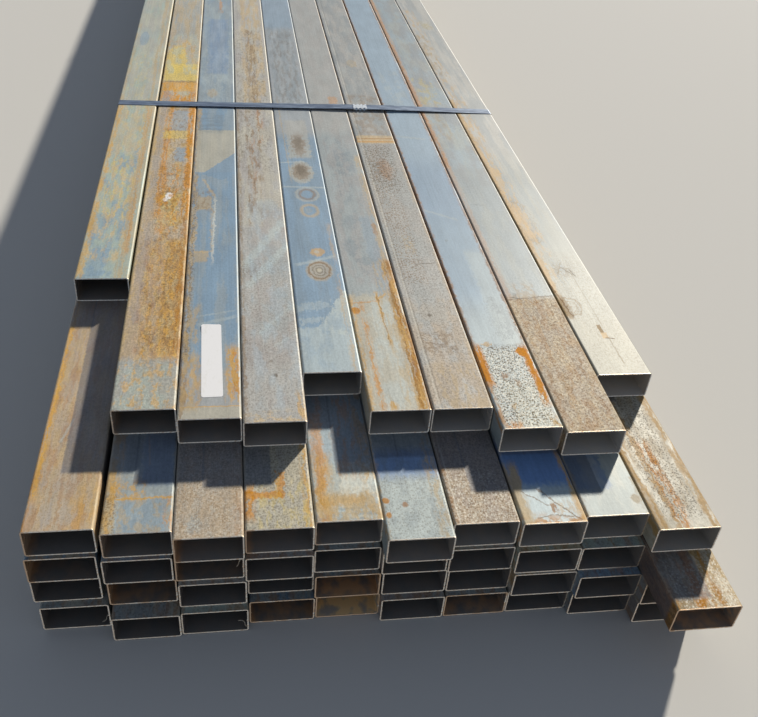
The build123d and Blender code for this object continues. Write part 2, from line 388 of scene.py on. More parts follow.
def painted_shadow(left, right):
    """Painted shadow in dark scale, that the two tubes lying on a lower one cast on it: how far along it
    the shadow of the left and of the right one starts.
    """
    return (patch("night", (left, 6300), (-90, 42), 0.6, 3, wobble=2),
            patch("night", (right, 6300), (40, 190), 0.6, 3, wobble=2))


# What each tube that shows looks like: the colour of the steel below, how light and how gritty it is, and
# its marks, the lowest first. On the lower tubes, the dark patches where the shadows of the tubes above
# fall are painted shadow.
RECIPES = {
    "tube_r5_c01": ("green", 1.1, 0.6, [
        patch("blue", (10, 112), (16, 54), 0.5),
        patch("blue", (150, 262), (12, 42), 0.45),
        mottle("blue", (-20, 600), (8, 84), 0.42, 0.6, (90, 24)),
        mottle("peach", (60, 900), (6, 84), 0.4, 0.65, (60, 12)),
        mottle("yellow", (240, 1300), (16, 80), 0.3, 0.45, (40, 10)),
        mottle("beige", (560, 6300), cover=0.6, size=(160, 26)),
        mottle("grey", (900, 6300), amount=0.5, size=(240, 20)),
        mottle("tan", (-20, 1600), (-40, 12), 0.6, 0.6, (120, 9)),
        mottle("ochre", (-20, 880), (-6, 15), 0.6, 0.6, (60, 7)),
        mottle("orange", (90, 860), (80, 93), 0.6, 0.55, (80, 5)),
        patch("rust", (150, 360), (83, 90), 0.35),
        mottle("tan", ALONG_ALL, (93, 130), 0.6, 0.5, (120, 8)),
        spot("blue", (1450, 30), (70, 14), 0.5),
        mottle("tan", (-20, 1900), (74, 92), 0.6, 0.6, (200, 6)),
    ]),
    "tube_r5_c02": ("tan", 1.13, 1.2, [
        mottle("mauve", (110, 560), (4, 60), 0.5, 0.6, (70, 14)),
        mottle("rust", (110, 560), (20, 104), 0.5, 0.5, (50, 10)),
        mottle("ochre", (130, 640), (30, 98), 0.4, 0.65, (34, 9)),
        mottle("grey", (540, 6300), (4, 100), 0.6, 0.55, (90, 22)),
        patch("mauve", ALONG_ALL, (9, 25), 0.45),
        patch("steel", (-60, 132), (-90, 190), 0.75, 10),
        mottle("green", (-20, 120), (0, 84), 0.5, 0.5, (50, 20)),
        mottle("ochre", (-20, 130), (0, 103), 0.33, 0.55, (30, 12)),
        patch("yellow", (600, 752), (38, 76), 0.45, wobble=14),
        mottle("orange", (590, 780), (34, 80), 0.4, 0.5, (34, 8)),
        mottle("umber", (680, 785), (32, 66), 0.42, 0.6, (14, 7)),
        spot("white", (738, 55), (17, 8), 0.95),
        spot("white", (720, 49), (9, 5), 0.8),
        mottle("orange", (640, 1300), (26, 44), 0.6, 0.65, (90, 6)),
        patch("blue", (918, 1000), (58, 84), 0.65),
        patch("blue", (1105, 1240), (42, 84), 0.55),
        patch("yellow", (1055, 1105), (24, 90), 0.5),
        mottle("orange", (640, 1300), (84, 102), 0.72, 0.85, (60, 7)),
        mottle("orange", (1290, 1455), (4, 100), 0.55, 0.75, (60, 9)),
        patch("mauve", (1300, 1385), (8, 30), 0.5),
        patch("green", (1352, 1400), (48, 74), 0.6, wobble=14),
        patch("ochre", (1385, 1460), (5, 98), 0.6, wobble=14),
        patch("umber", (1455, 1467), (5, 95), 0.5),
        patch("yellow", (1467, 1610), (4, 98), 0.75, 8, wobble=14),
        spot("yellow", (1650, 34), (130, 30), 0.65, 12, wobble=16),
        patch("steel", (1840, 6300), ACROSS_ALL, 0.7, 20),
        mottle("tan", (1800, 6300), amount=0.5, size=(200, 16)),
        mottle("brown", (150, 1300), (28, 96), 0.3, 0.5, (22, 6)),
        speckle("umber", (150, 900), (20, 96), 0.1, 0.5),
        mottle("rust", (120, 640), (88, 104), 0.6, 0.6, (70, 6)),
        mottle("orange", (560, 900), (34, 78), 0.3, 0.6, (40, 8)),
        mottle("green", (1520, 1900), (4, 98), 0.45, 0.5, (90, 22)),
        mottle("pink", (130, 700), (4, 60), 0.5, 0.4, (60, 14)),
    ]),
    "tube_r5_c03": ("blue", 1.02, 0.5, [
        mottle("steel", (100, 6300), cover=0.5, amount=0.55, size=(260, 20)),
        patch("grey", (-60, 122), ACROSS_ALL, 0.8, 12),
        mottle("ochre", (28, 165), (2, 36), 0.45, 0.6, (30, 8)),
        patch("beige", (-60, 28), ACROSS_ALL, 0.7, 2, wobble=3),
        line("ochre", (29, 2), (29, 100), 3, 0.6),
        mottle("ochre", (40, 190), (78, 99), 0.7, 0.85, (50, 8)),
        line("mist", (258, 28), (283, 96), 9, 0.4),
        line("mist", (284, 26), (302, 92), 5, 0.35),
        mottle("brown", (-20, 1280), (-60, 12), 0.6, 0.65, (50, 6)),
        mottle("tan", (150, 1300), (-6, 14), 0.55, 0.65, (40, 6)),
        speckle("umber", (150, 780), (-4, 16), 0.42, 0.5, 4),
        patch("tan", (478, 522), (14, 42), 0.6),
        box_outline("peach", (516, 704), (14, 48), 0.6),
        line("cream", (474, 50), (760, 54), 4, 0.5, 5),
        patch("tan", (700, 762), (14, 46), 0.6),
        mottle("brown", (690, 800), (12, 50), 0.4, 0.45, (24, 10)),
        line("peach", (760, 53), (850, 26), 5, 0.5, 5),
        patch("beige", (888, 1138), (6, 100), 0.8, 1.5, wobble=4),
        patch("blue", (849, 999), (57, 117), 0.9, 1.5, turn=33, wobble=4),
        mottle("slate", (1120, 1250), (10, 72), 0.6, 0.5, (14, 60)),
        patch("steel", (1300, 6300), ACROSS_ALL, 0.45, 20),
        spot("tan", (1400, 40), (34, 14), 0.5, 8, wobble=8),
        mottle("mist", (1480, 6300), cover=0.4, amount=0.4, size=(160, 30)),
        mottle("orange", (2180, 2340), (54, 68), 0.6, 0.55, (90, 7)),
        mottle("orange", (60, 178), (88, 98), 0.45, 0.7, (30, 6)),
        mottle("tan", (20, 320), (4, 30), 0.5, 0.6, (60, 8)),
        mottle("mist", (1300, 1800), (10, 90), 0.3, 0.5, (60, 10), form="veins"),
        patch("deep", (1560, 2100), (24, 84), 0.28, 10, wobble=14),
    ]),
    "tube_r5_c04": ("grey", 1.13, 0.9, [
        mottle("mauve", cover=0.4, amount=0.4, size=(180, 30)),
        mottle("steel", (240, 560), cover=0.5, amount=0.45, size=(90, 36)),
        line("mist", (395, 14), (560, 104), 17, 0.6, 6),
        line("mist", (470, 8), (665, 100), 20, 0.6, 6),
        line("mist", (235, 30), (330, 98), 10, 0.4, 6),
        line("mist", (200, 58), (240, 100), 7, 0.35, 6),
        line("mauve", (280, 38), (420, 34), 3, 0.5),
        mottle("beige", (640, 6300), cover=0.5, amount=0.5, size=(180, 26)),
        spot("umber", (118, 56), (5, 4), 0.75),
        spot("umber", (158, 50), (4, 3), 0.5),
        mottle("ochre", (-20, 70), (88, 104), 0.5, 0.6, (30, 6)),
        mottle("peach", (-20, 24), (-20, 104), 0.4, 0.6, (14, 20)),
        mottle("brown", (640, 1290), (24, 62), 0.36, 0.6, (80, 12)),
        mottle("rust", (810, 1100), (32, 50), 0.35, 0.45, (60, 5)),
        line("brown", (828, 36), (872, 46), 6, 0.4, 5),
        mottle("rust", (1070, 1300), (56, 72), 0.45, 0.5, (60, 6)),
        mottle("tan", (1320, 6300), (24, 90), cover=0.55, amount=0.6, size=(110, 14)),
        mottle("brown", (1320, 2000), (38, 66), 0.5, 0.6, (90, 8)),
        speckle("umber", (-20, 500), cover=0.2, amount=0.35),
        mottle("sky", (20, 760), (20, 100), 0.45, 0.3, (110, 34)),
        mottle("brown", (-20, 1300), (-6, 9), 0.6, 0.6, (60, 5)),
        mottle("umber", (420, 1300), (2, 40), 0.2, 0.35, (90, 7)),
        mottle("umber", (900, 2000), (4, 90), 0.25, 0.45, (20, 5)),
    ]),
    "tube_r5_c05": ("blue", 1.04, 0.5, [
        mottle("slate", (100, 6300), cover=0.45, amount=0.35, size=(260, 24)),
        patch("mist", (-60, 133), ACROSS_ALL, 0.7, 3),
        patch("mist", (111, 251), (65, 115), 0.85, 2, turn=25.6),
        patch("mist", (146, 164), (2, 46), 0.45, 3, wobble=16, turn=-14),
        patch("mist", (190, 214), (-4, 66), 0.5, 3, wobble=16, turn=-12),
        mottle("blue", (90, 215), (4, 96), 0.4, 0.4, (60, 18)),
        spot("tan", (330, 56), (40, 27), 0.5, 6, wobble=5),
        ring("brown", (330, 56), (31, 21), 0.8, 4, wobble=4),
        ring("umber", (330, 56), (20, 13), 0.6, 2.5, wobble=4),
        spot("beige", (331, 55), (7, 5), 0.7),
        line("mist", (352, 10), (386, 94), 10, 0.5, 5),
        spot("ochre", (402, 58), (16, 15), 0.65, 5, wobble=6),
        spot("mist", (403, 56), (7, 6), 0.5),
        ring("tan", (585, 56), (27, 18), 0.6, 7, wobble=3),
        spot("steel", (585, 54), (12, 8), 0.5),
        ring("beige", (664, 56), (33, 25), 0.5, 6),
        ring("brown", (664, 56), (24, 17), 0.65, 6, wobble=3),
        spot("beige", (782, 51), (62, 28), 0.6, 6, wobble=8),
        spot("brown", (784, 50), (46, 21), 0.6, 8, wobble=12),
        line("mist", (704, 2), (698, 100), 8, 0.5),
        line("mist", (834, 2), (840, 62), 6, 0.5),
        patch("beige", (862, 1100), (26, 82), 0.55, 8),
        spot("brown", (945, 54), (74, 18), 0.55, 9, wobble=14),
        patch("grey", (1000, 6300), ACROSS_ALL, 0.65, 30),
        line("tan", (740, 24), (1240, 14), 3, 0.45, 4),
        mottle("ochre", (-20, 520), (86, 95), 0.5, 0.45, (110, 5), crisp=0.14),
        mark("slate", (1150, 2000), (6, 92), 0.55, (220, 14), 5, grain=(130, 16), crisp=0.14),
        patch("blue", (1900, 6300), ACROSS_ALL, 0.6, 30),
        ring("umber", (330, 56), (10, 6), 0.6, 2.5, wobble=3),
        mark("umber", (1200, 1900), (12, 90), 0.4, (200, 20), 5, grain=(60, 9), cover=0.4, crisp=0.12),
        spot("umber", (790, 50), (30, 12), 0.5, 8, wobble=10),
        spot("umber", (950, 54), (44, 10), 0.45, 8, wobble=10),
        mottle("blue", (-20, 133), (10, 60), 0.4, 0.3, (60, 20)),
    ]),
    "tube_r5_c06": ("steel", 0.98, 0.7, [
        mottle("mauve", (380, 6300), cover=0.5, amount=0.4, size=(130, 26)),
        patch("beige", (-60, 345), ACROSS_ALL, 0.75, 8, wobble=14),
        patch("blue", (330, 660), (60, 93), 0.35, 8),
        mottle("ochre", (-20, 335), (-8, 9), 0.66, 0.7, (40, 6)),
        mottle("orange", (-20, 310), (18, 27), 0.58, 0.7, (50, 4)),
        spot("ochre", (10, 40), (13, 9), 0.85),
        spot("orange", (290, 10), (11, 9), 0.8),
        line("orange", (315, 6), (322, 60), 4, 0.6, 5),
        line("ochre", (183, 61), (352, 56), 5, 0.8, 4),
        line("ochre", (328, 58), (347, 74), 5, 0.7, 4),
        mottle("ochre", (-20, 470), (80, 101), 0.75, 0.9, (90, 6)),
        mottle("tan", (400, 980), (86, 99), 0.62, 0.65, (90, 6)),
        spot("rust", (605, 88), (30, 5), 0.5, 4, wobble=6),
        spot("slate", (470, 58), (14, 26), 0.5, 10, wobble=12),
        spot("slate", (530, 28), (36, 14), 0.5, 10, wobble=12),
        spot("slate", (640, 38), (26, 13), 0.5, 10, wobble=12),
        mottle("slate", (870, 1020), (36, 80), 0.55, 0.5, (30, 20)),
        patch("grey", (1125, 6300), ACROSS_ALL, 0.6, 30),
        patch("orange", (1328, 1384), (58, 82), 0.45),
        mottle("mist", (-20, 320), (28, 78), 0.55, 0.6, (90, 18)),
        mottle("rust", (-20, 470), (86, 103), 0.5, 0.75, (120, 4)),
        mottle("brown", (-20, 480), (80, 90), 0.4, 0.6, (80, 4)),
        mottle("tan", (-20, 470), (60, 84), 0.4, 0.5, (70, 7)),
        mottle("rust", ALONG_ALL, (100, 112), 0.6, 0.7, (150, 5)),
        mottle("slate", (400, 1100), (20, 84), 0.3, 0.35, (40, 18)),
        line("brown", (183, 60), (340, 57), 2, 0.6, 4),
    ]),
    "tube_r5_c07": ("grey", 0.9, 1.0, [
        mottle("pink", (-20, 330), cover=0.65, amount=0.7, size=(90, 30)),
        mottle("steel", (240, 6300), cover=0.5, amount=0.45, size=(130, 40)),
        speckle("umber", (-20, 1100), cover=0.3, amount=0.4),
        speckle("brown", (380, 1060), (8, 64), 0.2, 0.6, 5),
        mottle("brown", (150, 216), (14, 76), 0.5, 0.45, (40, 30), form="veins", crisp=0.03),
        spot("umber", (270, 44), (6, 4), 0.7),
        mottle("tan", (500, 570), (40, 58), 0.5, 0.5, (20, 8)),
        line("umber", (456, 48), (460, 94), 3, 0.6),
        speckle("brown", (850, 960), (16, 54), 0.4, 0.6, 6),
        patch("peach", (1060, 1110), (1, 99), 0.8, 3, wobble=4),
        line("orange", (1069, 1), (1071, 99), 9, 0.55),
        line("rust", (1088, 1), (1090, 99), 6, 0.6),
        mark("cream", ALONG_ALL, (11, 13.5), 0.4, wobble=1),
        mottle("tan", (-20, 900), (94, 99), 0.6, 0.5, (90, 4)),
        spot("tan", (1670, 55), (34, 16), 0.5, 6, wobble=8),
        mottle("slate", (1100, 6300), amount=0.4, size=(160, 30)),
        mottle("tan", (-20, 120), (20, 96), 0.45, 0.5, (50, 10)),
        spot("rust", (905, 52), (60, 16), 0.4, 9, wobble=14),
        speckle("umber", (780, 1050), (8, 84), 0.4, 0.6, 5),
        mottle("rust", (300, 6300), (99, 112), 0.6, 0.7, (150, 5)),
        mottle("brown", (1110, 1400), (10, 96), 0.5, 0.45, (50, 20)),
        mark("umber", ALONG_ALL, (15, 17), 0.35, wobble=1),
    ]),
    "tube_r5_c08": ("sky", 0.8, 0.45, [
        patch("blue", (260, 1000), ACROSS_ALL, 0.65, 60),
        patch("deep", (700, 6300), ACROSS_ALL, 0.12, 60),
        patch("mist", (-60, 360), ACROSS_ALL, 0.5, 50),
        patch("mist", (-60, 215), ACROSS_ALL, 0.7, 12),
        patch("mist", (215, 560), (58, 98), 0.5, 14),
        speckle("umber", (2, 224), (6, 96), 0.5, 0.95, 2.7),
        speckle("cream", (-20, 214), (8, 94), 0.42, 0.75, 3),
        mottle("flame", (112, 224), (-12, 14), 0.85, 0.95, (60, 10)),
        mottle("orange", (-20, 116), (-12, 8), 0.6, 0.7, (40, 8)),
        mottle("flame", (60, 218), (86, 100), 0.85, 0.95, (50, 8)),
        spot("flame", (205, 86), (13, 10), 0.95, 3, wobble=6),
        spot("rust", (135, 38), (9, 7), 0.6, 3, wobble=8),
        spot("ochre", (230, 28), (9, 7), 0.6, 3, wobble=8),
        spot("rust", (115, 56), (8, 4), 0.45, wobble=8),
        spot("ochre", (52, 34), (7, 4), 0.5, wobble=8),
        ring("slate", (312, 72), (66, 19), 0.75, 2, wobble=18),
        ring("slate", (308, 74), (48, 13), 0.7, 2, wobble=16),
        ring("slate", (306, 76), (28, 7), 0.7, 2, wobble=12),
        line("mist", (745, 6), (698, 74), 8, 0.4, 6),
        line("mist", (1162, 4), (1142, 82), 12, 0.4, 6),
        mottle("rust", (220, 6300), (95, 112), 0.7, 0.75, (150, 4)),
        mottle("rust", (220, 6300), (-20, 5), 0.8, 0.85, (150, 4)),
        spot("slate", (605, 30), (5, 4), 0.6),
        mottle("mist", (1360, 1660), (24, 84), 0.4, 0.4, (70, 26)),
        speckle("brown", (2, 224), (6, 96), 0.2, 0.3, 3.8),
        mottle("flame", (-4, 12), (10, 34), 0.6, 0.8, (12, 8)),
        mottle("ochre", (-4, 24), (86, 100), 0.55, 0.7, (16, 8)),
        patch("yellow", (-20, 120), (30, 96), 0.08, 12),
    ]),
    "tube_r5_c09": ("mist", 0.65, 0.7, [
        mottle("sky", (400, 6300), cover=0.6, amount=0.7, size=(200, 40)),
        mottle("mauve", (880, 6300), cover=0.5, amount=0.35, size=(140, 40)),
        patch("peach", (-60, 392), ACROSS_ALL, 0.85, 10),
        mottle("pink", (-60, 392), cover=0.5, amount=0.65, size=(60, 24)),
        speckle("brown", (-20, 395), cover=0.45, amount=0.45),
        speckle("cream", (-20, 395), cover=0.4, amount=0.35, size=3.2),
        mottle("ochre", (372, 445), (16, 66), 0.5, 0.55, (24, 10)),
        line("brown", (386, 2), (399, 102), 4, 0.6, 4),
        line("umber", (397, 2), (390, 30), 4, 0.65, 4),
        spot("umber", (404, 20), (9, 4), 0.5),
        mottle("flame", (392, 6300), (-12, 13), 0.8, 0.6, (160, 6)),
        mottle("rust", (392, 6300), (-20, 7), 0.6, 0.6, (200, 4)),
        line("slate", (786, 18), (783, 46), 5, 0.65),
        mottle("tan", (-20, 1250), (95, 102), 0.6, 0.55, (90, 4)),
        mottle("mist", (1110, 1200), (14, 46), 0.5, 0.5, (40, 18)),
        mottle("yellow", (1400, 1620), (16, 74), 0.45, 0.5, (60, 18)),
        mottle("tan", (1150, 1420), (10, 60), 0.35, 0.4, (80, 14)),
        mottle("brown", (-20, 390), cover=0.3, amount=0.4, size=(8, 5)),
        mottle("orange", (-20, 390), cover=0.4, amount=0.3, size=(50, 12)),
        mottle("rust", (900, 6300), (98, 112), 0.5, 0.5, (150, 5)),
        patch("steel", (396, 980), ACROSS_ALL, 0.55, 14),
    ]),
    "tube_r5_c10": ("cream", 0.47, 0.45, [
        patch("green", (-60, 560), ACROSS_ALL, 0.28, 60),
        patch("mist", (420, 6300), ACROSS_ALL, 0.6, 40),
        patch("white", (900, 6300), ACROSS_ALL, 0.75, 120),
        mottle("sky", (290, 480), (22, 54), 0.4, 0.5, (60, 6)),
        mottle("sky", (480, 6300), (10, 102), 0.5, 0.4, (260, 26)),
        mottle("gold", (180, 1300), (-12, 12), 0.8, 0.95, (110, 9)),
        mottle("gold", (300, 1300), (6, 28), 0.42, 0.7, (90, 12)),
        mottle("ochre", (180, 1300), (-12, 8), 0.55, 0.75, (70, 7)),
        spot("ochre", (212, 10), (40, 9), 0.6, 4, wobble=8),
        ring("ochre", (216, 22), (30, 19), 0.75, 2.5, wobble=8),
        ring("ochre", (214, 22), (19, 12), 0.7, 2, wobble=8),
        patch("ochre", (122, 152), (50, 57), 0.85, 1.5, wobble=2),
        patch("gold", (108, 126), (49, 61), 0.9, 1.5, wobble=2),
        line("rust", (109, 54), (106, 72), 2.2, 0.7),
        line("tan", (30, 61), (110, 60), 2.5, 0.55, 3),
        line("tan", (150, 61), (330, 60), 2, 0.5, 1),
        mottle("tan", (326, 366), (30, 64), 0.5, 0.6, (24, 14), form="veins", crisp=0.03),
        patch("gold", (328, 394), (0, 16), 0.8),
        spot("gold", (560, 18), (94, 15), 0.45, 5, wobble=16),
        ring("tan", (560, 22), (94, 18), 0.8, 2.5, wobble=24),
        spot("gold", (812, 18), (26, 11), 0.8, 5, wobble=8),
        spot("gold", (702, 8), (7, 10), 0.8),
        mottle("gold", (400, 2200), (-4, 44), 0.3, 0.6, (60, 8)),
        mottle("tan", (1500, 1900), (-4, 34), 0.5, 0.6, (60, 12)),
        mottle("yellow", (1970, 2070), (46, 82), 0.55, 0.5, (50, 16)),
        patch("yellow", (-60, 260), ACROSS_ALL, 0.08, 60),
        patch("mist", (170, 460), (14, 104), 0.32, 30),
        line("brown", (362, 44), (330, 62), 2.2, 0.6, 3),
        line("brown", (350, 60), (326, 66), 2.2, 0.6, 3),
        line("tan", (330, 30), (380, 52), 2.2, 0.5, 3),
        line("rust", (300, 2), (180, 14), 3, 0.6, 4),
        speckle("tan", (-20, 420), (10, 96), 0.2, 0.3, 3.4),
    ]),
    "tube_r4_c01": ("pink", 1.16, 0.5, [
        mottle("tan", cover=0.5, amount=0.5, size=(90, 16)),
        mottle("mauve", cover=0.35, amount=0.4, size=(90, 16)),
        spot("grey", (60, 46), (70, 26), 0.35, 14, wobble=10),
        mottle("rust", cover=0.35, amount=0.35, size=(70, 10)),
        speckle("brown", (-20, 300), (10, 96), 0.2, 0.3),
        mottle("ochre", (60, 620), (2, 12), 0.66, 0.8, (70, 4)),
        mottle("orange", (-20, 300), (-20, 4), 0.6, 0.6, (50, 8)),
        line("mist", (186, 30), (242, 44), 4, 0.4),
        mottle("tan", ALONG_ALL, (90, 120), 0.55, 0.5, (60, 6)),
        mottle("ochre", (-20, 180), (60, 102), 0.35, 0.4, (60, 16), crisp=0.14),
        *painted_shadow(505, 116),
    ]),
    "tube_r4_c02": ("steel", 1.02, 0.6, [
        mottle("mist", cover=0.5, amount=0.5, size=(60, 22)),
        patch("beige", (-60, 70), (-40, 20), 0.7),
        patch("blue", (-60, 64), (22, 92), 0.4),
        mottle("tan", (-20, 66), (20, 102), 0.35, 0.5, (24, 12)),
        line("ochre", (68, 2), (67, 100), 4, 0.75, 5),
        patch("tan", (-60, 320), (-12, 15), 0.6, 6),
        mottle("ochre", (-20, 320), (-12, 22), 0.5, 0.6, (60, 12), crisp=0.14),
        speckle("brown", (-20, 80), (-4, 20), 0.45, 0.6, 3.4),
        mottle("ochre", (66, 110), (6, 60), 0.5, 0.7, (20, 12)),
        line("peach", (138, 62), (206, 57), 3, 0.6),
        mottle("orange", (-20, 66), (88, 104), 0.4, 0.6, (24, 7)),
        # Painted shade: darker blue where the tube above shadows this one.
        patch("deep", (96, 300), (50, 100), 0.35, 8),
        *painted_shadow(126, 98),
    ]),
    "tube_r4_c03": ("pink", 1.06, 1.0, [
        mottle("grey", cover=0.45, amount=0.45, size=(50, 18)),
        patch("steel", (14, 46), (18, 38), 0.5, 5),
        speckle("brown", cover=0.42, amount=0.45),
        speckle("cream", cover=0.3, amount=0.35, size=3),
        mottle("rust", (-20, 320), (88, 130), 0.45, 0.4, (40, 6)),
        mottle("pink", (-20, 92), cover=0.4, amount=0.5, size=(30, 12)),
        *painted_shadow(114, 101),
    ]),
    "tube_r4_c04": ("beige", 1.02, 1.1, [
        mottle("grey", cover=0.5, amount=0.4, size=(60, 24)),
        speckle("umber", cover=0.42, amount=0.45, size=3.2),
        mottle("orange", (22, 90), (-12, 14), 0.72, 0.8, (34, 8)),
        patch("orange", (61, 76), (2, 56), 0.75, 2),
        patch("orange", (62, 116), (50, 61), 0.7, 2),
        mottle("ochre", (-20, 420), (89, 100), 0.68, 0.75, (40, 6)),
        mottle("yellow", (-20, 100), (20, 100), 0.35, 0.35, (30, 10)),
        *painted_shadow(91, 214),
    ]),
    "tube_r4_c05": ("mist", 1.0, 0.8, [
        mottle("beige", cover=0.5, amount=0.5, size=(60, 20)),
        patch("blue", (120, 430), ACROSS_ALL, 0.45, 10),
        patch("cream", (52, 124), (44, 94), 0.5),
        mottle("slate", (-20, 32), cover=0.45, amount=0.5, size=(9, 60)),
        mark("orange", (-20, 420), (6, 26), 0.7, (30, 12), 9, grain=(80, 14), cover=0.7, crisp=0.16),
        patch("ochre", (30, 50), (6, 78), 0.7, 5),
        mottle("ochre", (-20, 300), (80, 104), 0.5, 0.6, (50, 10)),
        mottle("orange", (90, 420), (40, 80), 0.35, 0.5, (70, 8)),
        mottle("tan", (-20, 60), cover=0.6, amount=0.7, size=(26, 12)),
        mottle("ochre", (-20, 150), (-4, 34), 0.5, 0.5, (60, 14), crisp=0.16),
        *painted_shadow(205, 100),
    ]),
    "tube_r4_c06": ("mist", 0.96, 0.6, [
        # Painted shade: darker blue where the tube above shadows this one.
        patch("deep", (128, 190), ACROSS_ALL, 0.75, 12),
        mottle("slate", cover=0.4, amount=0.35, size=(40, 18)),
        speckle("umber", (-20, 130), cover=0.25, amount=0.35, size=3.2),
        spot("orange", (48, 8), (6, 5), 0.8),
        spot("orange", (78, 8), (6, 5), 0.8),
        spot("rust", (68, 36), (5, 4), 0.7),
        mottle("tan", (-20, 420), (80, 99), 0.55, 0.6, (30, 8)),
        mottle("ochre", (-20, 300), (-12, 4), 0.5, 0.6, (30, 5)),
        *painted_shadow(172, 172),
    ]),
    "tube_r4_c07": ("pink", 0.92, 1.1, [
        mottle("mauve", cover=0.5, amount=0.4, size=(50, 20)),
        speckle("brown", cover=0.36, amount=0.6),
        speckle("cream", (-20, 110), cover=0.3, amount=0.5, size=4),
        mark("cream", ALONG_ALL, (8, 10.5), 0.5, wobble=1),
        mottle("rust", (-20, 420), (-12, 8), 0.5, 0.5, (30, 6)),
        *painted_shadow(118, 64),
    ]),
    "tube_r4_c08": ("mist", 1.0, 0.4, [
        patch("mist", (-60, 96), ACROSS_ALL, 0.6, 12),
        # Painted shade: darker blue where the tube above shadows this one.
        patch("deep", (74, 190), ACROSS_ALL, 0.9, 8),
        patch("sky", (4, 84), (14, 92), 0.4, 6),
        mottle("ochre", (2, 44), (56, 92), 0.4, 0.35, (24, 8)),
        mottle("orange", (-20, 13), cover=0.55, amount=0.75, size=(9, 16)),
        mottle("tan", (-20, 130), (-12, 20), 0.75, 0.8, (90, 12), crisp=0.14),
        mottle("ochre", (-20, 300), (92, 112), 0.7, 0.7, (60, 8)),
        line("brown", (66, 16), (35, 49), 2.2, 0.6, 4),
        line("brown", (72, 40), (35, 66), 2.4, 0.65, 4),
        *painted_shadow(150, 150),
        line("brown", (35, 66), (2, 93), 2.4, 0.65, 4),
        spot("rust", (31, 56), (10, 5), 0.7, 2, wobble=6),
        line("brown", (10, 25), (16, 49), 2.2, 0.55, 3),
        line("brown", (16, 49), (11, 82), 2.2, 0.6, 3),
    ]),
    "tube_r4_c09": ("mist", 0.74, 0.3, [
        # Painted shade: darker blue where the tube above shadows this one.
        patch("deep", (56, 6300), (-90, 60), 0.55, 5),
        mottle("cream", (-20, 130), cover=0.5, amount=0.4, size=(160, 60)),
        spot("tan", (32, 90), (10, 7), 0.6),
        mottle("ochre", (-20, 420), (-12, 4), 0.55, 0.6, (50, 5)),
        mottle("tan", (-20, 420), (96, 130), 0.5, 0.5, (50, 8)),
        *painted_shadow(48, 193),
    ]),
    "tube_r4_c10": ("beige", 0.7, 0.8, [
        mottle("cream", cover=0.5, amount=0.6, size=(80, 24)),
        mottle("tan", (-20, 500), cover=0.3, amount=0.4, size=(70, 12)),
        mottle("ochre", (-20, 460), (-20, 16), 0.7, 0.8, (110, 12), crisp=0.12),
        line("ochre", (-4, 36), (300, 30), 8, 0.7, 9),
        line("orange", (40, 58), (200, 50), 5, 0.6, 9),
        mottle("rust", (60, 330), (14, 84), 0.14, 0.6, (110, 34), form="veins", crisp=0.03),
        mottle("ochre", (-20, 330), (86, 112), 0.66, 0.75, (60, 7)),
        *painted_shadow(300, 560),
        mottle("flame", (-20, 190), (36, 56), 0.45, 0.7, (30, 5)),
        speckle("umber", (20, 330), (18, 84), 0.25, 0.6, 3),
    ]),
    "tube_r3_c10": ("tan", 0.86, 1.1, [
        mottle("cream", (-20, 200), cover=0.5, amount=0.5, size=(40, 16)),
        mottle("umber", (-20, 6300), (-90, 54), 0.6, 0.5, (140, 24), crisp=0.16),
        line("orange", (-6, 40), (200, 62), 13, 0.85, 8),
        speckle("rust", (-20, 220), cover=0.2, amount=0.4),
        patch("rust", ALONG_ALL, (-90, -1), 0.7, 3),
        mottle("umber", ALONG_ALL, (-90, -1), 0.45, 0.5, (50, 14)),
        mottle("orange", (-20, 220), (-8, 6), 0.6, 0.7, (40, 5)),
        speckle("cream", (-20, 90), (10, 100), 0.3, 0.6, 4),
        mottle("orange", (-20, 200), (30, 80), 0.35, 0.6, (40, 8)),
        # Painted shade: dark scale over the top and the left side of this tube, where they are out of the
        # sun.
        patch("night", (17, 6300), (-90, 62), 0.62, 4, wobble=2),
    ]),
}

# How light the inside of a tube is, by its layer or by its own name: in the first tube of the layer, and
# how much more in each tube to the right, which is painted light that grows towards the right of the
# bundle.
INSIDE_GAIN_AND_PAINTED_LIGHT = {"tube_r5": (1.15, 0.24), "tube_r4": (1.0, 0.13), "tube_r1_c05": (2.0, 0.0)}
OTHER_TUBES_GAIN_AND_PAINTED_LIGHT = (0.85, 0.03)
MOST_RUST_GAIN = 2.0

# How much rust shows inside a tube: on its left wall, and all over.
RUSTY_INSIDE = {
    "tube_r5_c02": (0.4, 0.1),
    "tube_r4_c01": (0.6, 0.0), "tube_r4_c02": (0.4, 0.1), "tube_r4_c03": (0.9, 0.1),
    "tube_r4_c04": (0.7, 0.1), "tube_r4_c05": (0.4, 0.1),
    "tube_r3_c01": (1.0, 0.2), "tube_r3_c03": (0.7, 0.3), "tube_r3_c10": (0.8, 0.7),
    "tube_r2_c02": (1.0, 0.6), "tube_r2_c05": (1.0, 1.2),
    "tube_r1_c04": (1.0, 0.8), "tube_r1_c05": (1.0, 1.9), "tube_r1_c07": (0.8, 0.7),
}
OTHER_RUST_INSIDE = (0.15, 0.1)

# Patterns of the finish, in millimetres along and across the tube. The real grit is finer than a
# millimetre, and is drawn coarse enough to show.
RAG = (16, 9, 1)
GRIT = (6.5, 4.2, 1)
ROLLING_LINES = (260, 3.4, 1)
CLOUDS = (110, 34, 1)
WAVES = (240, 22, 1)
BORE_BLOTCHES = (24, 30, 12)

# How much the rolling lines and the clouds change a colour.
LINES_SHARE, CLOUDS_SHARE = 0.25, 0.4

# Each pattern starts at a random place in its noise, between 0 and this.
SEED_RANGE = 900


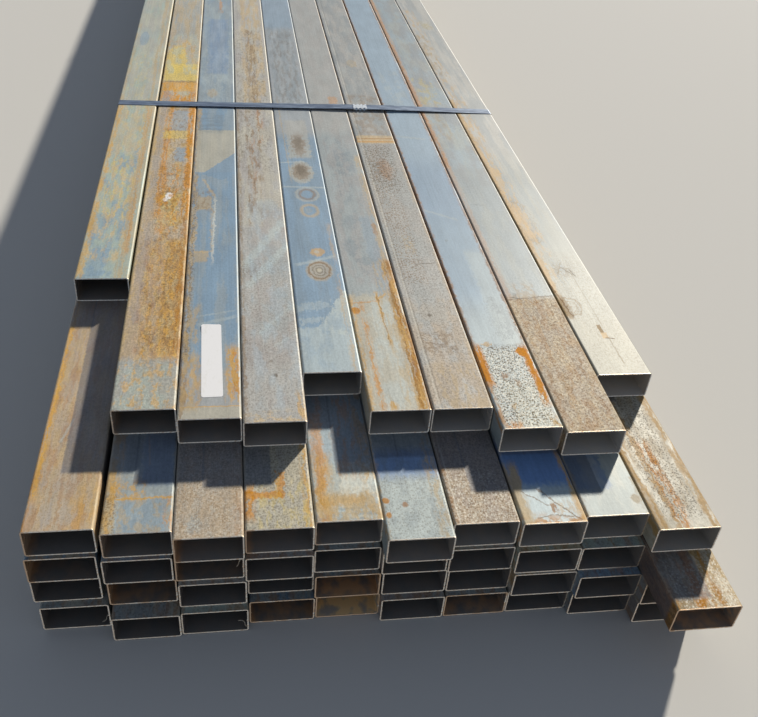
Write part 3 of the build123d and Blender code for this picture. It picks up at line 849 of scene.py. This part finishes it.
def plain_recipe(name):
    """A recipe for a tube that little is seen of, weathered like the rest, with nothing that stands out."""
    chance = random.Random(name)
    base = chance.choice(["blue", "steel", "grey", "slate", "green", "mauve"])
    return base, chance.uniform(0.85, 1.0), chance.uniform(0.4, 1.0), [
        mottle(chance.choice(["beige", "steel", "pink", "tan"]), cover=0.45, amount=0.6,
               size=(chance.uniform(120, 300), chance.uniform(18, 40))),
        mottle("rust", cover=chance.uniform(0.2, 0.45), amount=0.45, size=(90, 14)),
        speckle("umber", cover=0.3, amount=0.3, size=4),
    ]


def lay_mark(put, group, one, values):
    """Adds one mark's group node, and gives what the next mark starts from."""
    wanted = {
        "Centre": (*one.centre, 0.0), "Half": (*one.half, 1.0), "Turn": math.radians(one.turn),
        "Fade": (*one.fade, 1.0), "Wobble": one.wobble, "Amount": one.amount,
        "Low": one.level - one.crisp, "High": one.level + one.crisp, **values,
    }
    if one.grain:
        wanted["Grain"] = (*one.grain, 1.0)
    names = [item.name for item in group.interface.items_tree if item.in_out == "INPUT"]
    node = put("Group", node_tree=group)
    for name in names:
        if isinstance(wanted[name], (bpy.types.Node, bpy.types.NodeSocket)):
            source = wanted[name]
            source = source.outputs[0] if isinstance(source, bpy.types.Node) else source
            node.id_data.links.new(source, node.inputs[name])
        else:
            node.inputs[name].default_value = wanted[name]
    return node.outputs["Surface"], node.outputs["Colour"], node.outputs["Rust"]


def make_tube_material(name, colours, groups):
    """Hot-rolled mild steel tube: mill scale that dust, water stains and light rust partly cover.

    The scale has a low lustre, and thick rust is rough and has hardly any.
    """
    chance = random.Random("finish " + name)
    base, gain, gritty, marks = RECIPES.get(name) or plain_recipe(name)
    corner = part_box(name)[0]
    material, put = new_material("mill_scale_" + name)

    # Millimetres from the tube's lower near left corner, and the same unrolled: along the tube, and across
    # its top and down its sides.
    here = put("TexCoord").outputs["Object"]
    local = put("Mapping", {"Vector": here, "Location": [-distance / MM for distance in corner],
                            "Scale": per(MM, MM, MM)})
    across, along, up = put("SeparateXYZ", {0: local}).outputs
    side = put("Math", {0: across, 1: TUBE_WIDTH / 2}, operation="SUBTRACT")
    side = put("Math", {0: side}, operation="SIGN")
    drop = put("Math", {0: TUBE_HEIGHT, 1: up}, operation="SUBTRACT")
    drop = put("Math", {0: drop, 1: 0.0}, operation="MAXIMUM")
    unrolled = put("Math", {0: side, 1: drop, 2: across}, operation="MULTIPLY_ADD")
    surface = put("CombineXYZ", {0: along, 1: unrolled})

    # Noise that makes the edges of the marks ragged.
    seed = chance.uniform(0, SEED_RANGE)
    rag = put("Mapping", {"Vector": surface, "Location": (seed, seed / 3, 0.0), "Scale": per(*RAG)})
    rag = put("TexNoise", {"Vector": rag, "Scale": 1.0, "Detail": 4.0, "Roughness": 0.72},
              noise_dimensions="2D")
    rag = put("VectorMath", {0: rag.outputs["Color"], 1: (3.0, 3.0, 0.0), 2: (-1.5, -1.5, 0.0)},
              operation="MULTIPLY_ADD")

    place, colour = surface, with_alpha(getattr(colours, base), gain)
    rust = RUST_OF.get(base, LITTLE_RUST)
    for one in (*marks, *EDGE_MARKS):
        kind = kind_of(one)
        if kind not in groups:
            groups[kind] = make_mark_group(kind)
        place, colour, rust = lay_mark(put, groups[kind], one, {
            "Surface": place, "Rag": rag, "Colour below": colour, "Rust below": rust,
            "Colour": with_alpha(getattr(colours, one.colour), gain),
            "Rust": RUST_OF.get(one.colour, LITTLE_RUST),
            "Seed": (chance.uniform(0, SEED_RANGE), chance.uniform(0, SEED_RANGE), 0.0),
        })

    # The rolled surface: fine grit, faint lines along the tube and soft clouds. Each averages a half, and
    # their tone averages 1, so that the colours come out as they are written.
    grit = put("Mapping", {"Vector": surface, "Scale": per(*GRIT)})
    grit = put("TexNoise", {"Vector": grit, "Scale": 1.0, "Detail": 3.0, "Roughness": 0.75},
               noise_dimensions="2D")
    lines = put("Mapping", {"Vector": surface, "Scale": per(*ROLLING_LINES)})
    lines = put("TexNoise", {"Vector": lines, "Scale": 1.0, "Detail": 2.0}, noise_dimensions="2D")
    clouds = put("Mapping", {"Vector": surface, "Location": (seed, 0.0, 0.0), "Scale": per(*CLOUDS)})
    clouds = put("TexNoise", {"Vector": clouds, "Scale": 1.0, "Detail": 3.0, "Roughness": 0.6},
                 noise_dimensions="2D")
    even = 1 - (gritty + LINES_SHARE + CLOUDS_SHARE) / 2
    tone = put("Math", {0: grit, 1: gritty, 2: even}, operation="MULTIPLY_ADD")
    tone = put("Math", {0: lines, 1: LINES_SHARE, 2: tone}, operation="MULTIPLY_ADD")
    tone = put("Math", {0: clouds, 1: CLOUDS_SHARE, 2: tone}, operation="MULTIPLY_ADD")
    colour = put("VectorMath", {0: colour, 3: tone}, operation="SCALE")

    # The inside, which starts past the middle of the wall. Rust reaches out from its left wall, furthest
    # where the blotches are dense.
    width_left = put("Math", {0: TUBE_WIDTH, 1: across}, operation="SUBTRACT")
    height_left = put("Math", {0: TUBE_HEIGHT, 1: up}, operation="SUBTRACT")
    from_side = put("Math", {0: across, 1: width_left}, operation="MINIMUM")
    from_face = put("Math", {0: up, 1: height_left}, operation="MINIMUM")
    depth = put("Math", {0: from_side, 1: from_face}, operation="MINIMUM")
    left_rust, bore_rust = RUSTY_INSIDE.get(name, OTHER_RUST_INSIDE)
    blotches = put("Mapping", {"Vector": local, "Location": (seed, 0.0, 0.0),
                               "Scale": per(*BORE_BLOTCHES)})
    blotches = put("TexNoise", {"Vector": blotches, "Scale": 1.0, "Detail": 2.0, "Roughness": 0.6})
    left_wall = put("Math", {0: blotches, 1: -26.0, 2: across}, operation="MULTIPLY_ADD")
    left_wall = put("MapRange", {0: left_wall, 1: 4.0, 2: -12.0, 3: 0.0, 4: left_rust},
                    interpolation_type="SMOOTHSTEP")
    all_over = put("MapRange", {0: blotches, 1: 0.3, 2: 0.7, 3: 0.0, 4: bore_rust},
                   interpolation_type="SMOOTHSTEP")
    rusty = put("Math", {0: left_wall, 1: all_over}, operation="MAXIMUM")
    layer, column = name.split("_c")
    # Each tube to the right gets a lighter inside: painted light.
    first, painted_light_per_tube = INSIDE_GAIN_AND_PAINTED_LIGHT.get(name) or INSIDE_GAIN_AND_PAINTED_LIGHT.get(layer, OTHER_TUBES_GAIN_AND_PAINTED_LIGHT)
    inside_gain_and_painted_light = first + painted_light_per_tube * (int(column) - 1)
    lining = put("MixRGB", {0: rusty, 1: with_alpha(colours.inside, inside_gain_and_painted_light),
                            2: with_alpha(colours.inside_rust, min(inside_gain_and_painted_light, MOST_RUST_GAIN))})
    inner = put("MapRange", {0: depth, 1: TUBE_WALL - 0.6, 2: TUBE_WALL - 0.2},
                interpolation_type="SMOOTHSTEP")
    colour = put("MixRGB", {0: inner, 1: colour, 2: lining})

    # The sawn ends: pale sawn steel where they haven't rusted, made paler still as a painted highlight on
    # the burr.
    end = put("Math", {0: TUBE_LENGTH, 1: along}, operation="SUBTRACT")
    end = put("Math", {0: along, 1: end}, operation="MINIMUM")
    sawn = put("MapRange", {0: end, 1: 0.9, 2: 0.1}, interpolation_type="SMOOTHSTEP")
    rim = put("Math", {0: rusty, 1: 0.4, 2: grit}, operation="MULTIPLY_ADD")
    rim = put("MapRange", {0: rim, 1: 0.42, 2: 0.7}, interpolation_type="SMOOTHSTEP")
    rim = put("MixRGB", {0: rim, 1: with_alpha(colours.rim), 2: with_alpha(colours.rim_rust)})
    colour = put("MixRGB", {0: sawn, 1: colour, 2: rim})

    # Pits where it has rusted, and the slight waves of rolled sheet.
    waves = put("Mapping", {"Vector": surface, "Scale": per(*WAVES)})
    waves = put("TexNoise", {"Vector": waves, "Scale": 1.0, "Detail": 1.0}, noise_dimensions="2D")
    height = put("Math", {0: grit, 1: waves}, operation="ADD")
    strength = put("Math", {0: rust, 1: 0.6, 2: 0.25}, operation="MULTIPLY_ADD")
    bump = put("Bump", {"Height": height, "Distance": 0.4 * MM, "Strength": strength})
    roughness = put("Math", {0: rust, 1: 0.25, 2: 0.5}, operation="MULTIPLY_ADD")
    metallic = put("Math", {0: rust, 1: -0.1, 2: 0.1}, operation="MULTIPLY_ADD")
    sheen = put("MapRange", {0: rust, 1: 0.6, 2: 0.95, 3: 0.5, 4: 0.1})
    metallic = put("Mix", {0: sawn, 2: metallic, 3: 0.85})
    roughness = put("Mix", {0: sawn, 2: roughness, 3: 0.4})

    # The saw's burr leans up and catches the sky.
    burr = put("VectorMath", {0: (0.0, 0.0, 0.7), 1: sawn, 2: bump}, operation="MULTIPLY_ADD")
    facing = put("VectorMath", {0: burr}, operation="NORMALIZE")
    shader = put("BsdfPrincipled", {"Base Color": colour, "Roughness": roughness, "Metallic": metallic,
                                    "Specular IOR Level": sheen, "Normal": facing})
    put("OutputMaterial", {"Surface": shader})
    return material


def make_strap_material(colours):
    """Cold-rolled steel strapping, blued and waxed: smooth and half glossy, with rubbed streaks."""
    material, put = new_material("blued_strapping")
    here = put("TexCoord").outputs["Object"]
    streaks = put("Mapping", {"Vector": here, "Scale": per(60 * MM, 2.2 * MM, 60 * MM)})
    streaks = put("TexNoise", {"Vector": streaks, "Scale": 1.0, "Detail": 2.0, "Roughness": 0.6})
    blotches = put("Mapping", {"Vector": here, "Scale": per(40 * MM, 12 * MM, 40 * MM)})
    blotches = put("TexNoise", {"Vector": blotches, "Scale": 1.0, "Detail": 3.0, "Roughness": 0.6})
    wear = put("Math", {0: streaks, 1: blotches}, operation="ADD")
    wear = put("MapRange", {0: wear, 1: 0.85, 2: 1.25}, interpolation_type="SMOOTHSTEP")
    colour = put("MixRGB", {0: wear, 1: with_alpha(colours.strap), 2: with_alpha(colours.strap_wear)})
    roughness = put("Math", {0: blotches, 1: 0.3, 2: 0.3}, operation="MULTIPLY_ADD")
    bump = put("Bump", {"Height": streaks, "Distance": 0.1 * MM, "Strength": 0.4})
    shader = put("BsdfPrincipled", {"Base Color": colour, "Metallic": 0.4, "Roughness": roughness,
                                    "Normal": bump})
    put("OutputMaterial", {"Surface": shader})
    return material


def make_seal_material(colours):
    """Galvanised sheet, pressed: bright zinc with a fine spangle, duller in rubbed patches."""
    material, put = new_material("galvanised_seal")
    here = put("TexCoord").outputs["Object"]
    millimetres = put("Mapping", {"Vector": here, "Scale": per(MM, MM, MM)})
    spangle = put("TexVoronoi", {"Vector": millimetres, "Scale": 1 / 3})
    rubbed = put("TexNoise", {"Vector": millimetres, "Scale": 1 / 5, "Detail": 2.0, "Roughness": 0.6})
    dull = put("MapRange", {0: rubbed, 1: 0.45, 2: 0.65}, interpolation_type="SMOOTHSTEP")
    dull = put("Math", {0: spangle.outputs["Distance"], 1: 0.4, 2: dull}, operation="MULTIPLY_ADD",
               use_clamp=True)
    colour = put("MixRGB", {0: dull, 1: with_alpha(colours.seal), 2: with_alpha(colours.seal_dull)})
    roughness = put("Math", {0: rubbed, 1: 0.3, 2: 0.25}, operation="MULTIPLY_ADD")
    shader = put("BsdfPrincipled", {"Base Color": colour, "Metallic": 0.15, "Roughness": roughness})
    put("OutputMaterial", {"Surface": shader})
    return material


def make_paper_material(sizes):
    """Coated label paper on glue: white, faintly glossy, with a slight tooth and dusty scuffs."""
    material, put = new_material("coated_label_paper")
    here = put("TexCoord").outputs["Object"]
    tooth = put("TexNoise", {"Vector": here, "Scale": 1 / (1.6 * MM), "Detail": 3.0, "Roughness": 0.6})
    scuffs = put("Mapping", {"Vector": here, "Scale": per(9 * MM, 26 * MM, 9 * MM)})
    scuffs = put("TexNoise", {"Vector": scuffs, "Scale": 1.0, "Detail": 3.0, "Roughness": 0.6})
    scuffs = put("MapRange", {0: scuffs, 1: 0.52, 2: 0.8}, interpolation_type="SMOOTHSTEP")
    colour = put("MixRGB", {0: scuffs, 1: with_alpha(sizes.paper), 2: with_alpha(sizes.dust)})
    roughness = put("Math", {0: scuffs, 1: 0.3, 2: 0.4}, operation="MULTIPLY_ADD")
    bump = put("Bump", {"Height": tooth, "Distance": 0.03 * MM, "Strength": 0.3})
    shader = put("BsdfPrincipled", {"Base Color": colour, "Roughness": roughness, "Normal": bump})
    put("OutputMaterial", {"Surface": shader})
    return material


def make_flash_material(colours):
    """Weld flash scraped off the seam: torn steel, bright and lustrous where it hasn't rusted."""
    material, put = new_material("torn_weld_flash")
    here = put("TexCoord").outputs["Object"]
    rust = put("TexNoise", {"Vector": here, "Scale": 1 / (2.5 * MM), "Detail": 3.0, "Roughness": 0.6})
    share = put("MapRange", {0: rust, 1: 0.45, 2: 0.7}, interpolation_type="SMOOTHSTEP")
    colour = put("MixRGB", {0: share, 1: with_alpha(colours.rim), 2: with_alpha(colours.rim_rust)})
    metallic = put("Math", {0: share, 1: -0.5, 2: 0.6}, operation="MULTIPLY_ADD")
    bump = put("Bump", {"Height": rust, "Distance": 0.2 * MM, "Strength": 0.6})
    shader = put("BsdfPrincipled", {"Base Color": colour, "Metallic": metallic, "Roughness": 0.45,
                                    "Normal": bump})
    put("OutputMaterial", {"Surface": shader})
    return material


def give_material(obj, material):
    """Puts one material on an object, in place of any that it has."""
    obj.data.materials.clear()
    obj.data.materials.append(material)


def deselect_all():
    """Goes back to object mode with nothing selected, because operators act on all that is."""
    if bpy.context.object and bpy.context.object.mode != "OBJECT":
        bpy.ops.object.mode_set(mode="OBJECT")
    bpy.ops.object.select_all(action="DESELECT")


def settle(obj, name):
    """Names an object and moves its place and scale into its mesh, so that its origin is the frame's."""
    deselect_all()
    obj.select_set(True)
    bpy.context.view_layer.objects.active = obj
    bpy.ops.object.transform_apply(location=True, rotation=True, scale=True)
    obj.name = name
    obj.data.name = name
    return obj


class BUNDLE_OT_tubes(bpy.types.Operator):
    """Gives every tube its own finish"""

    bl_idname = "bundle.finish_tubes"
    bl_label = "Finish the tubes"

    def execute(self, context):
        colours = context.scene.steel_colours
        groups = {}
        for name in TUBES:
            give_material(NODES[name], make_tube_material(name, colours, groups))
        return {"FINISHED"}


class BUNDLE_OT_straps(bpy.types.Operator):
    """Gives the straps and their seals their finish"""

    bl_idname = "bundle.finish_straps"
    bl_label = "Finish the straps"

    def execute(self, context):
        colours = context.scene.strap_colours
        strapping = make_strap_material(colours)
        galvanised = make_seal_material(colours)
        for name in STRAPS:
            give_material(NODES[name], strapping)
        for name in SEALS:
            give_material(NODES[name], galvanised)
        return {"FINISHED"}


# Weld flash inside a tube: how high up the right wall it starts, how long each step of it is, and how far
# each turns from the last, the first from straight off the wall. In millimetres and degrees.
Flash = namedtuple("Flash", "tube height step turns")
FLASH_CURLS = (
    Flash("tube_r3_c03", 45.0, 3.9, (52, 12, 8, 4, -4, -8)),
    Flash("tube_r1_c03", 8.0, 3.4, (-36, -40, -8, 14, 22, 30, 26)),
    Flash("tube_r1_c01", 24.0, 3.4, (34, 38, 8, -16, -18, -14)),
)

# The strip's foot, in millimetres: off the wall, along the tube and up the wall. Then how far in from the
# tube's end it is, and how much of its size each step leaves it.
FLASH_FOOT, FLASH_WIDTH, FLASH_THICKNESS = 0.8, 2.6, 1.3
FLASH_INSET = 2.0
FLASH_TAPER = 0.92
FLASH_BEVEL = 0.2
FLASH_SMOOTH = math.radians(40)


class BUNDLE_OT_flash(bpy.types.Operator):
    """Adds the weld flash that has curled off the seam inside a few tubes"""

    bl_idname = "bundle.add_flash"
    bl_label = "Add the weld flash"

    def execute(self, context):
        material = make_flash_material(context.scene.steel_colours)
        for one in FLASH_CURLS:
            flash = self.curl(one)
            give_material(flash, material)
            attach(flash, "root")
        return {"FINISHED"}

    def curl(self, one):
        """Draws a strip out of a small block on the wall, and turns it at each step."""
        low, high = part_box(one.tube)
        place = Vector((high.x - TUBE_WALL * MM, low.y + FLASH_INSET * MM, low.z + one.height * MM))
        deselect_all()
        bpy.ops.mesh.primitive_cube_add(size=1, location=place)
        bpy.context.object.scale = (FLASH_FOOT * MM, FLASH_WIDTH * MM, FLASH_THICKNESS * MM)
        flash = settle(bpy.context.object, one.tube.replace("tube", "weld_flash"))
        bpy.ops.object.mode_set(mode="EDIT")
        bpy.ops.mesh.select_mode(type="FACE")
        bpy.ops.mesh.select_all(action="DESELECT")
        mesh = bmesh.from_edit_mesh(flash.data)
        for face in mesh.faces:
            face.select = face.normal.x < -0.9
        bmesh.update_edit_mesh(flash.data)
        heading = 0.0
        for turn in one.turns:
            heading += math.radians(turn)
            move = Vector((-math.cos(heading), 0, -math.sin(heading))) * one.step * MM
            place = place + move
            bpy.ops.mesh.extrude_region_move(TRANSFORM_OT_translate={"value": move})
            bpy.ops.transform.rotate(value=math.radians(turn), orient_axis="Y", center_override=place)
            bpy.ops.transform.resize(value=(FLASH_TAPER,) * 3, center_override=place)
        bpy.ops.object.mode_set(mode="OBJECT")
        bevel = flash.modifiers.new("worn edges", "BEVEL")
        bevel.width = FLASH_BEVEL * MM
        bevel.segments = 2
        bpy.ops.object.modifier_apply(modifier=bevel.name)
        bpy.ops.object.shade_smooth_by_angle(angle=FLASH_SMOOTH)
        return flash


# The label's middle, in millimetres across and along from the tube's near left corner, and above its top.
LABEL_TUBE = "tube_r5_c03"
LABEL_PLACE = (53, 155)
LABEL_GAP = 0.1
LABEL_TURN = math.radians(1.1)
LABEL_SQUARES = (7, 20)
LABEL_SMOOTH = math.radians(30)


class BUNDLE_OT_label(bpy.types.Operator):
    """Sticks the bare paper label on the third tube of the top layer"""

    bl_idname = "bundle.add_label"
    bl_label = "Add the label"

    def execute(self, context):
        sizes = context.scene.label_sizes
        low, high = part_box(LABEL_TUBE)
        across, along = LABEL_PLACE
        centre = Vector((low.x + across * MM, low.y + along * MM, high.z + LABEL_GAP * MM))
        deselect_all()
        bpy.ops.mesh.primitive_grid_add(
            x_subdivisions=LABEL_SQUARES[0], y_subdivisions=LABEL_SQUARES[1], size=1,
            location=centre, rotation=(0, 0, LABEL_TURN),
        )
        context.object.scale = (sizes.width, sizes.length, 1)
        label = settle(context.object, "label")
        self.round_corners(label, sizes)
        self.lift_corner(label, sizes)
        thickness = label.modifiers.new("paper", "SOLIDIFY")
        thickness.thickness = sizes.thickness
        thickness.offset = 1
        bpy.ops.object.modifier_apply(modifier=thickness.name)
        bpy.ops.object.shade_smooth_by_angle(angle=LABEL_SMOOTH)
        give_material(label, make_paper_material(sizes))
        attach(label, "root")
        return {"FINISHED"}

    def round_corners(self, label, sizes):
        """Rounds the four corners, as a die cuts them."""
        bpy.ops.object.mode_set(mode="EDIT")
        bpy.ops.mesh.select_mode(type="VERT")
        bpy.ops.mesh.select_all(action="DESELECT")
        mesh = bmesh.from_edit_mesh(label.data)
        for vertex in mesh.verts:
            vertex.select = len(vertex.link_edges) == 2
        mesh.select_flush(True)
        bmesh.update_edit_mesh(label.data)
        bpy.ops.mesh.bevel(offset=sizes.corner, segments=5, affect="VERTICES")
        bpy.ops.object.mode_set(mode="OBJECT")

    def lift_corner(self, label, sizes):
        """Lifts the far left corner a little off the steel, where the glue has let go."""
        far = max(vertex.co.y for vertex in label.data.vertices)
        left = min(vertex.co.x for vertex in label.data.vertices)
        bpy.ops.object.mode_set(mode="EDIT")
        bpy.ops.mesh.select_all(action="DESELECT")
        mesh = bmesh.from_edit_mesh(label.data)
        for vertex in mesh.verts:
            vertex.select = vertex.co.y - vertex.co.x > far - left - 3 * sizes.corner
        mesh.select_flush(True)
        bmesh.update_edit_mesh(label.data)
        bpy.ops.transform.translate(
            value=(0, 0, sizes.lift), use_proportional_edit=True,
            proportional_edit_falloff="SMOOTH", proportional_size=sizes.width / 2,
        )
        bpy.ops.object.mode_set(mode="OBJECT")


# The floor's side, in metres.
FLOOR_SIZE = 60.0

# Which way the key light shines.
KEY_DIRECTION = Vector((-1.2, -1.75, -1.0))

# How high up the background has turned to its upper colour, as the sine of the angle.
HIGH_SKY_FROM = 0.55

# The camera, as fitted to the corners of the tubes: pixels, degrees and metres.
PICTURE_WIDTH, PICTURE_HEIGHT = 758, 717
CAMERA_FOCAL = 880.56
CAMERA_CENTRE = (365.34, 360.04)
CAMERA_ANGLES = (9.996, 36.897, 4.622)
CAMERA_PLACE = Vector((-0.1992, -4.1510, 1.1751))
CAMERA_NEAREST, CAMERA_FARTHEST = 0.05, 200.0

# The width of the camera's sensor, in the millimetres that a lens is given in.
SENSOR_WIDTH = 36.0


class BUNDLE_OT_stage(bpy.types.Operator):
    """Sets the floor, the light, the background and the camera"""

    bl_idname = "bundle.set_stage"
    bl_label = "Set the stage"

    def execute(self, context):
        look = context.scene.stage_look
        scene = context.scene
        scene.view_settings.view_transform = "Standard"
        deselect_all()
        bpy.ops.mesh.primitive_plane_add(size=FLOOR_SIZE)
        floor = settle(context.object, "floor")
        material = bpy.data.materials.new("plain_floor")
        material.use_nodes = True
        shader = material.node_tree.nodes["Principled BSDF"]
        shader.inputs["Base Color"].default_value = with_alpha(look.floor)
        shader.inputs["Roughness"].default_value = 0.9
        shader.inputs["Specular IOR Level"].default_value = 0.1
        give_material(floor, material)
        self.set_light(look)
        self.set_background(scene, look)
        self.set_camera(scene)
        return {"FINISHED"}

    def set_light(self, look):
        """The key light, from behind on the right, low enough to show the surface."""
        light = bpy.data.lights.new("key", "SUN")
        light.energy = look.key_strength
        light.angle = look.key_spread
        light.color = look.key_colour
        key = bpy.data.objects.new("key", light)
        key.rotation_euler = KEY_DIRECTION.to_track_quat("-Z", "Y").to_euler()
        bpy.context.scene.collection.objects.link(key)

    def set_background(self, scene, look):
        """Faint light from all round, and a pale background that the camera and the steel see."""
        world = bpy.data.worlds.new("studio")
        scene.world = world
        world.use_nodes = True
        world.node_tree.nodes.clear()
        put = partial(add, world.node_tree)
        fill = put("Background", {"Color": with_alpha(look.fill), "Strength": look.fill_strength})
        direction = put("TexCoord").outputs["Generated"]
        height = put("SeparateXYZ", {0: direction}).outputs[2]
        share = put("MapRange", {0: height, 1: 0.0, 2: HIGH_SKY_FROM}, interpolation_type="SMOOTHSTEP")
        sky = put("MixRGB", {0: share, 1: with_alpha(look.low_sky), 2: with_alpha(look.high_sky)})
        seen = put("Background", {"Color": sky, "Strength": 1.0})
        path = put("LightPath").outputs
        direct = put("Math", {0: path["Is Camera Ray"], 1: path["Is Glossy Ray"]}, operation="MAXIMUM")
        shows = put("Math", {0: direct, 1: path["Is Transmission Ray"]}, operation="MAXIMUM")
        both = put("MixShader", {0: shows, 1: fill, 2: seen})
        put("OutputWorld", {"Surface": both})

    def set_camera(self, scene):
        """Above the near ends, a little to the left, looking down along the tubes."""
        camera_data = bpy.data.cameras.new("camera")
        camera_data.sensor_fit = "HORIZONTAL"
        camera_data.sensor_width = SENSOR_WIDTH
        camera_data.lens = CAMERA_FOCAL * SENSOR_WIDTH / PICTURE_WIDTH
        camera_data.shift_x = (PICTURE_WIDTH / 2 - CAMERA_CENTRE[0]) / PICTURE_WIDTH
        camera_data.shift_y = (CAMERA_CENTRE[1] - PICTURE_HEIGHT / 2) / PICTURE_WIDTH
        camera_data.clip_start = CAMERA_NEAREST
        camera_data.clip_end = CAMERA_FARTHEST
        camera = bpy.data.objects.new("camera", camera_data)
        heading, pitch, roll = (math.radians(angle) for angle in CAMERA_ANGLES)
        camera.matrix_world = (
            Matrix.Translation(CAMERA_PLACE)
            @ Matrix.Rotation(-heading, 4, "Z")
            @ Matrix.Rotation(math.pi / 2 - pitch, 4, "X")
            @ Matrix.Rotation(roll, 4, "Z")
        )
        scene.collection.objects.link(camera)
        scene.camera = camera


OPERATORS = (BUNDLE_OT_tubes, BUNDLE_OT_straps, BUNDLE_OT_flash, BUNDLE_OT_label, BUNDLE_OT_stage)


SETTINGS = {
    "steel_colours": SteelColours,
    "strap_colours": StrapColours,
    "label_sizes": LabelSizes,
    "stage_look": StageLook,
}


class BUNDLE_PT_panel(bpy.types.Panel):
    """Lists the steps, and the colours and sizes that they use"""

    bl_idname = "BUNDLE_PT_panel"
    bl_label = "Steel tube bundle"
    bl_space_type = "VIEW_3D"
    bl_region_type = "UI"
    bl_category = "Bundle"

    def draw(self, context):
        layout = self.layout
        for operator in OPERATORS:
            layout.operator(operator.bl_idname)
        for group in SETTINGS:
            for name in SETTINGS[group].__annotations__:
                layout.prop(getattr(context.scene, group), name)


def register():
    """Registers the settings, the steps and the panel."""
    for group, settings in SETTINGS.items():
        bpy.utils.register_class(settings)
        setattr(bpy.types.Scene, group, bpy.props.PointerProperty(type=settings))
    for kind in (*OPERATORS, BUNDLE_PT_panel):
        bpy.utils.register_class(kind)


def unregister():
    """Takes the panel, the steps and the settings away again."""
    for kind in (BUNDLE_PT_panel, *reversed(OPERATORS)):
        bpy.utils.unregister_class(kind)
    for group, settings in reversed(SETTINGS.items()):
        delattr(bpy.types.Scene, group)
        bpy.utils.unregister_class(settings)


def main():
    """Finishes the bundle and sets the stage."""
    register()
    bpy.ops.bundle.finish_tubes()
    bpy.ops.bundle.finish_straps()
    bpy.ops.bundle.add_flash()
    bpy.ops.bundle.add_label()
    bpy.ops.bundle.set_stage()
    bpy.context.view_layer.update()


if __name__ == "__main__":
    main()
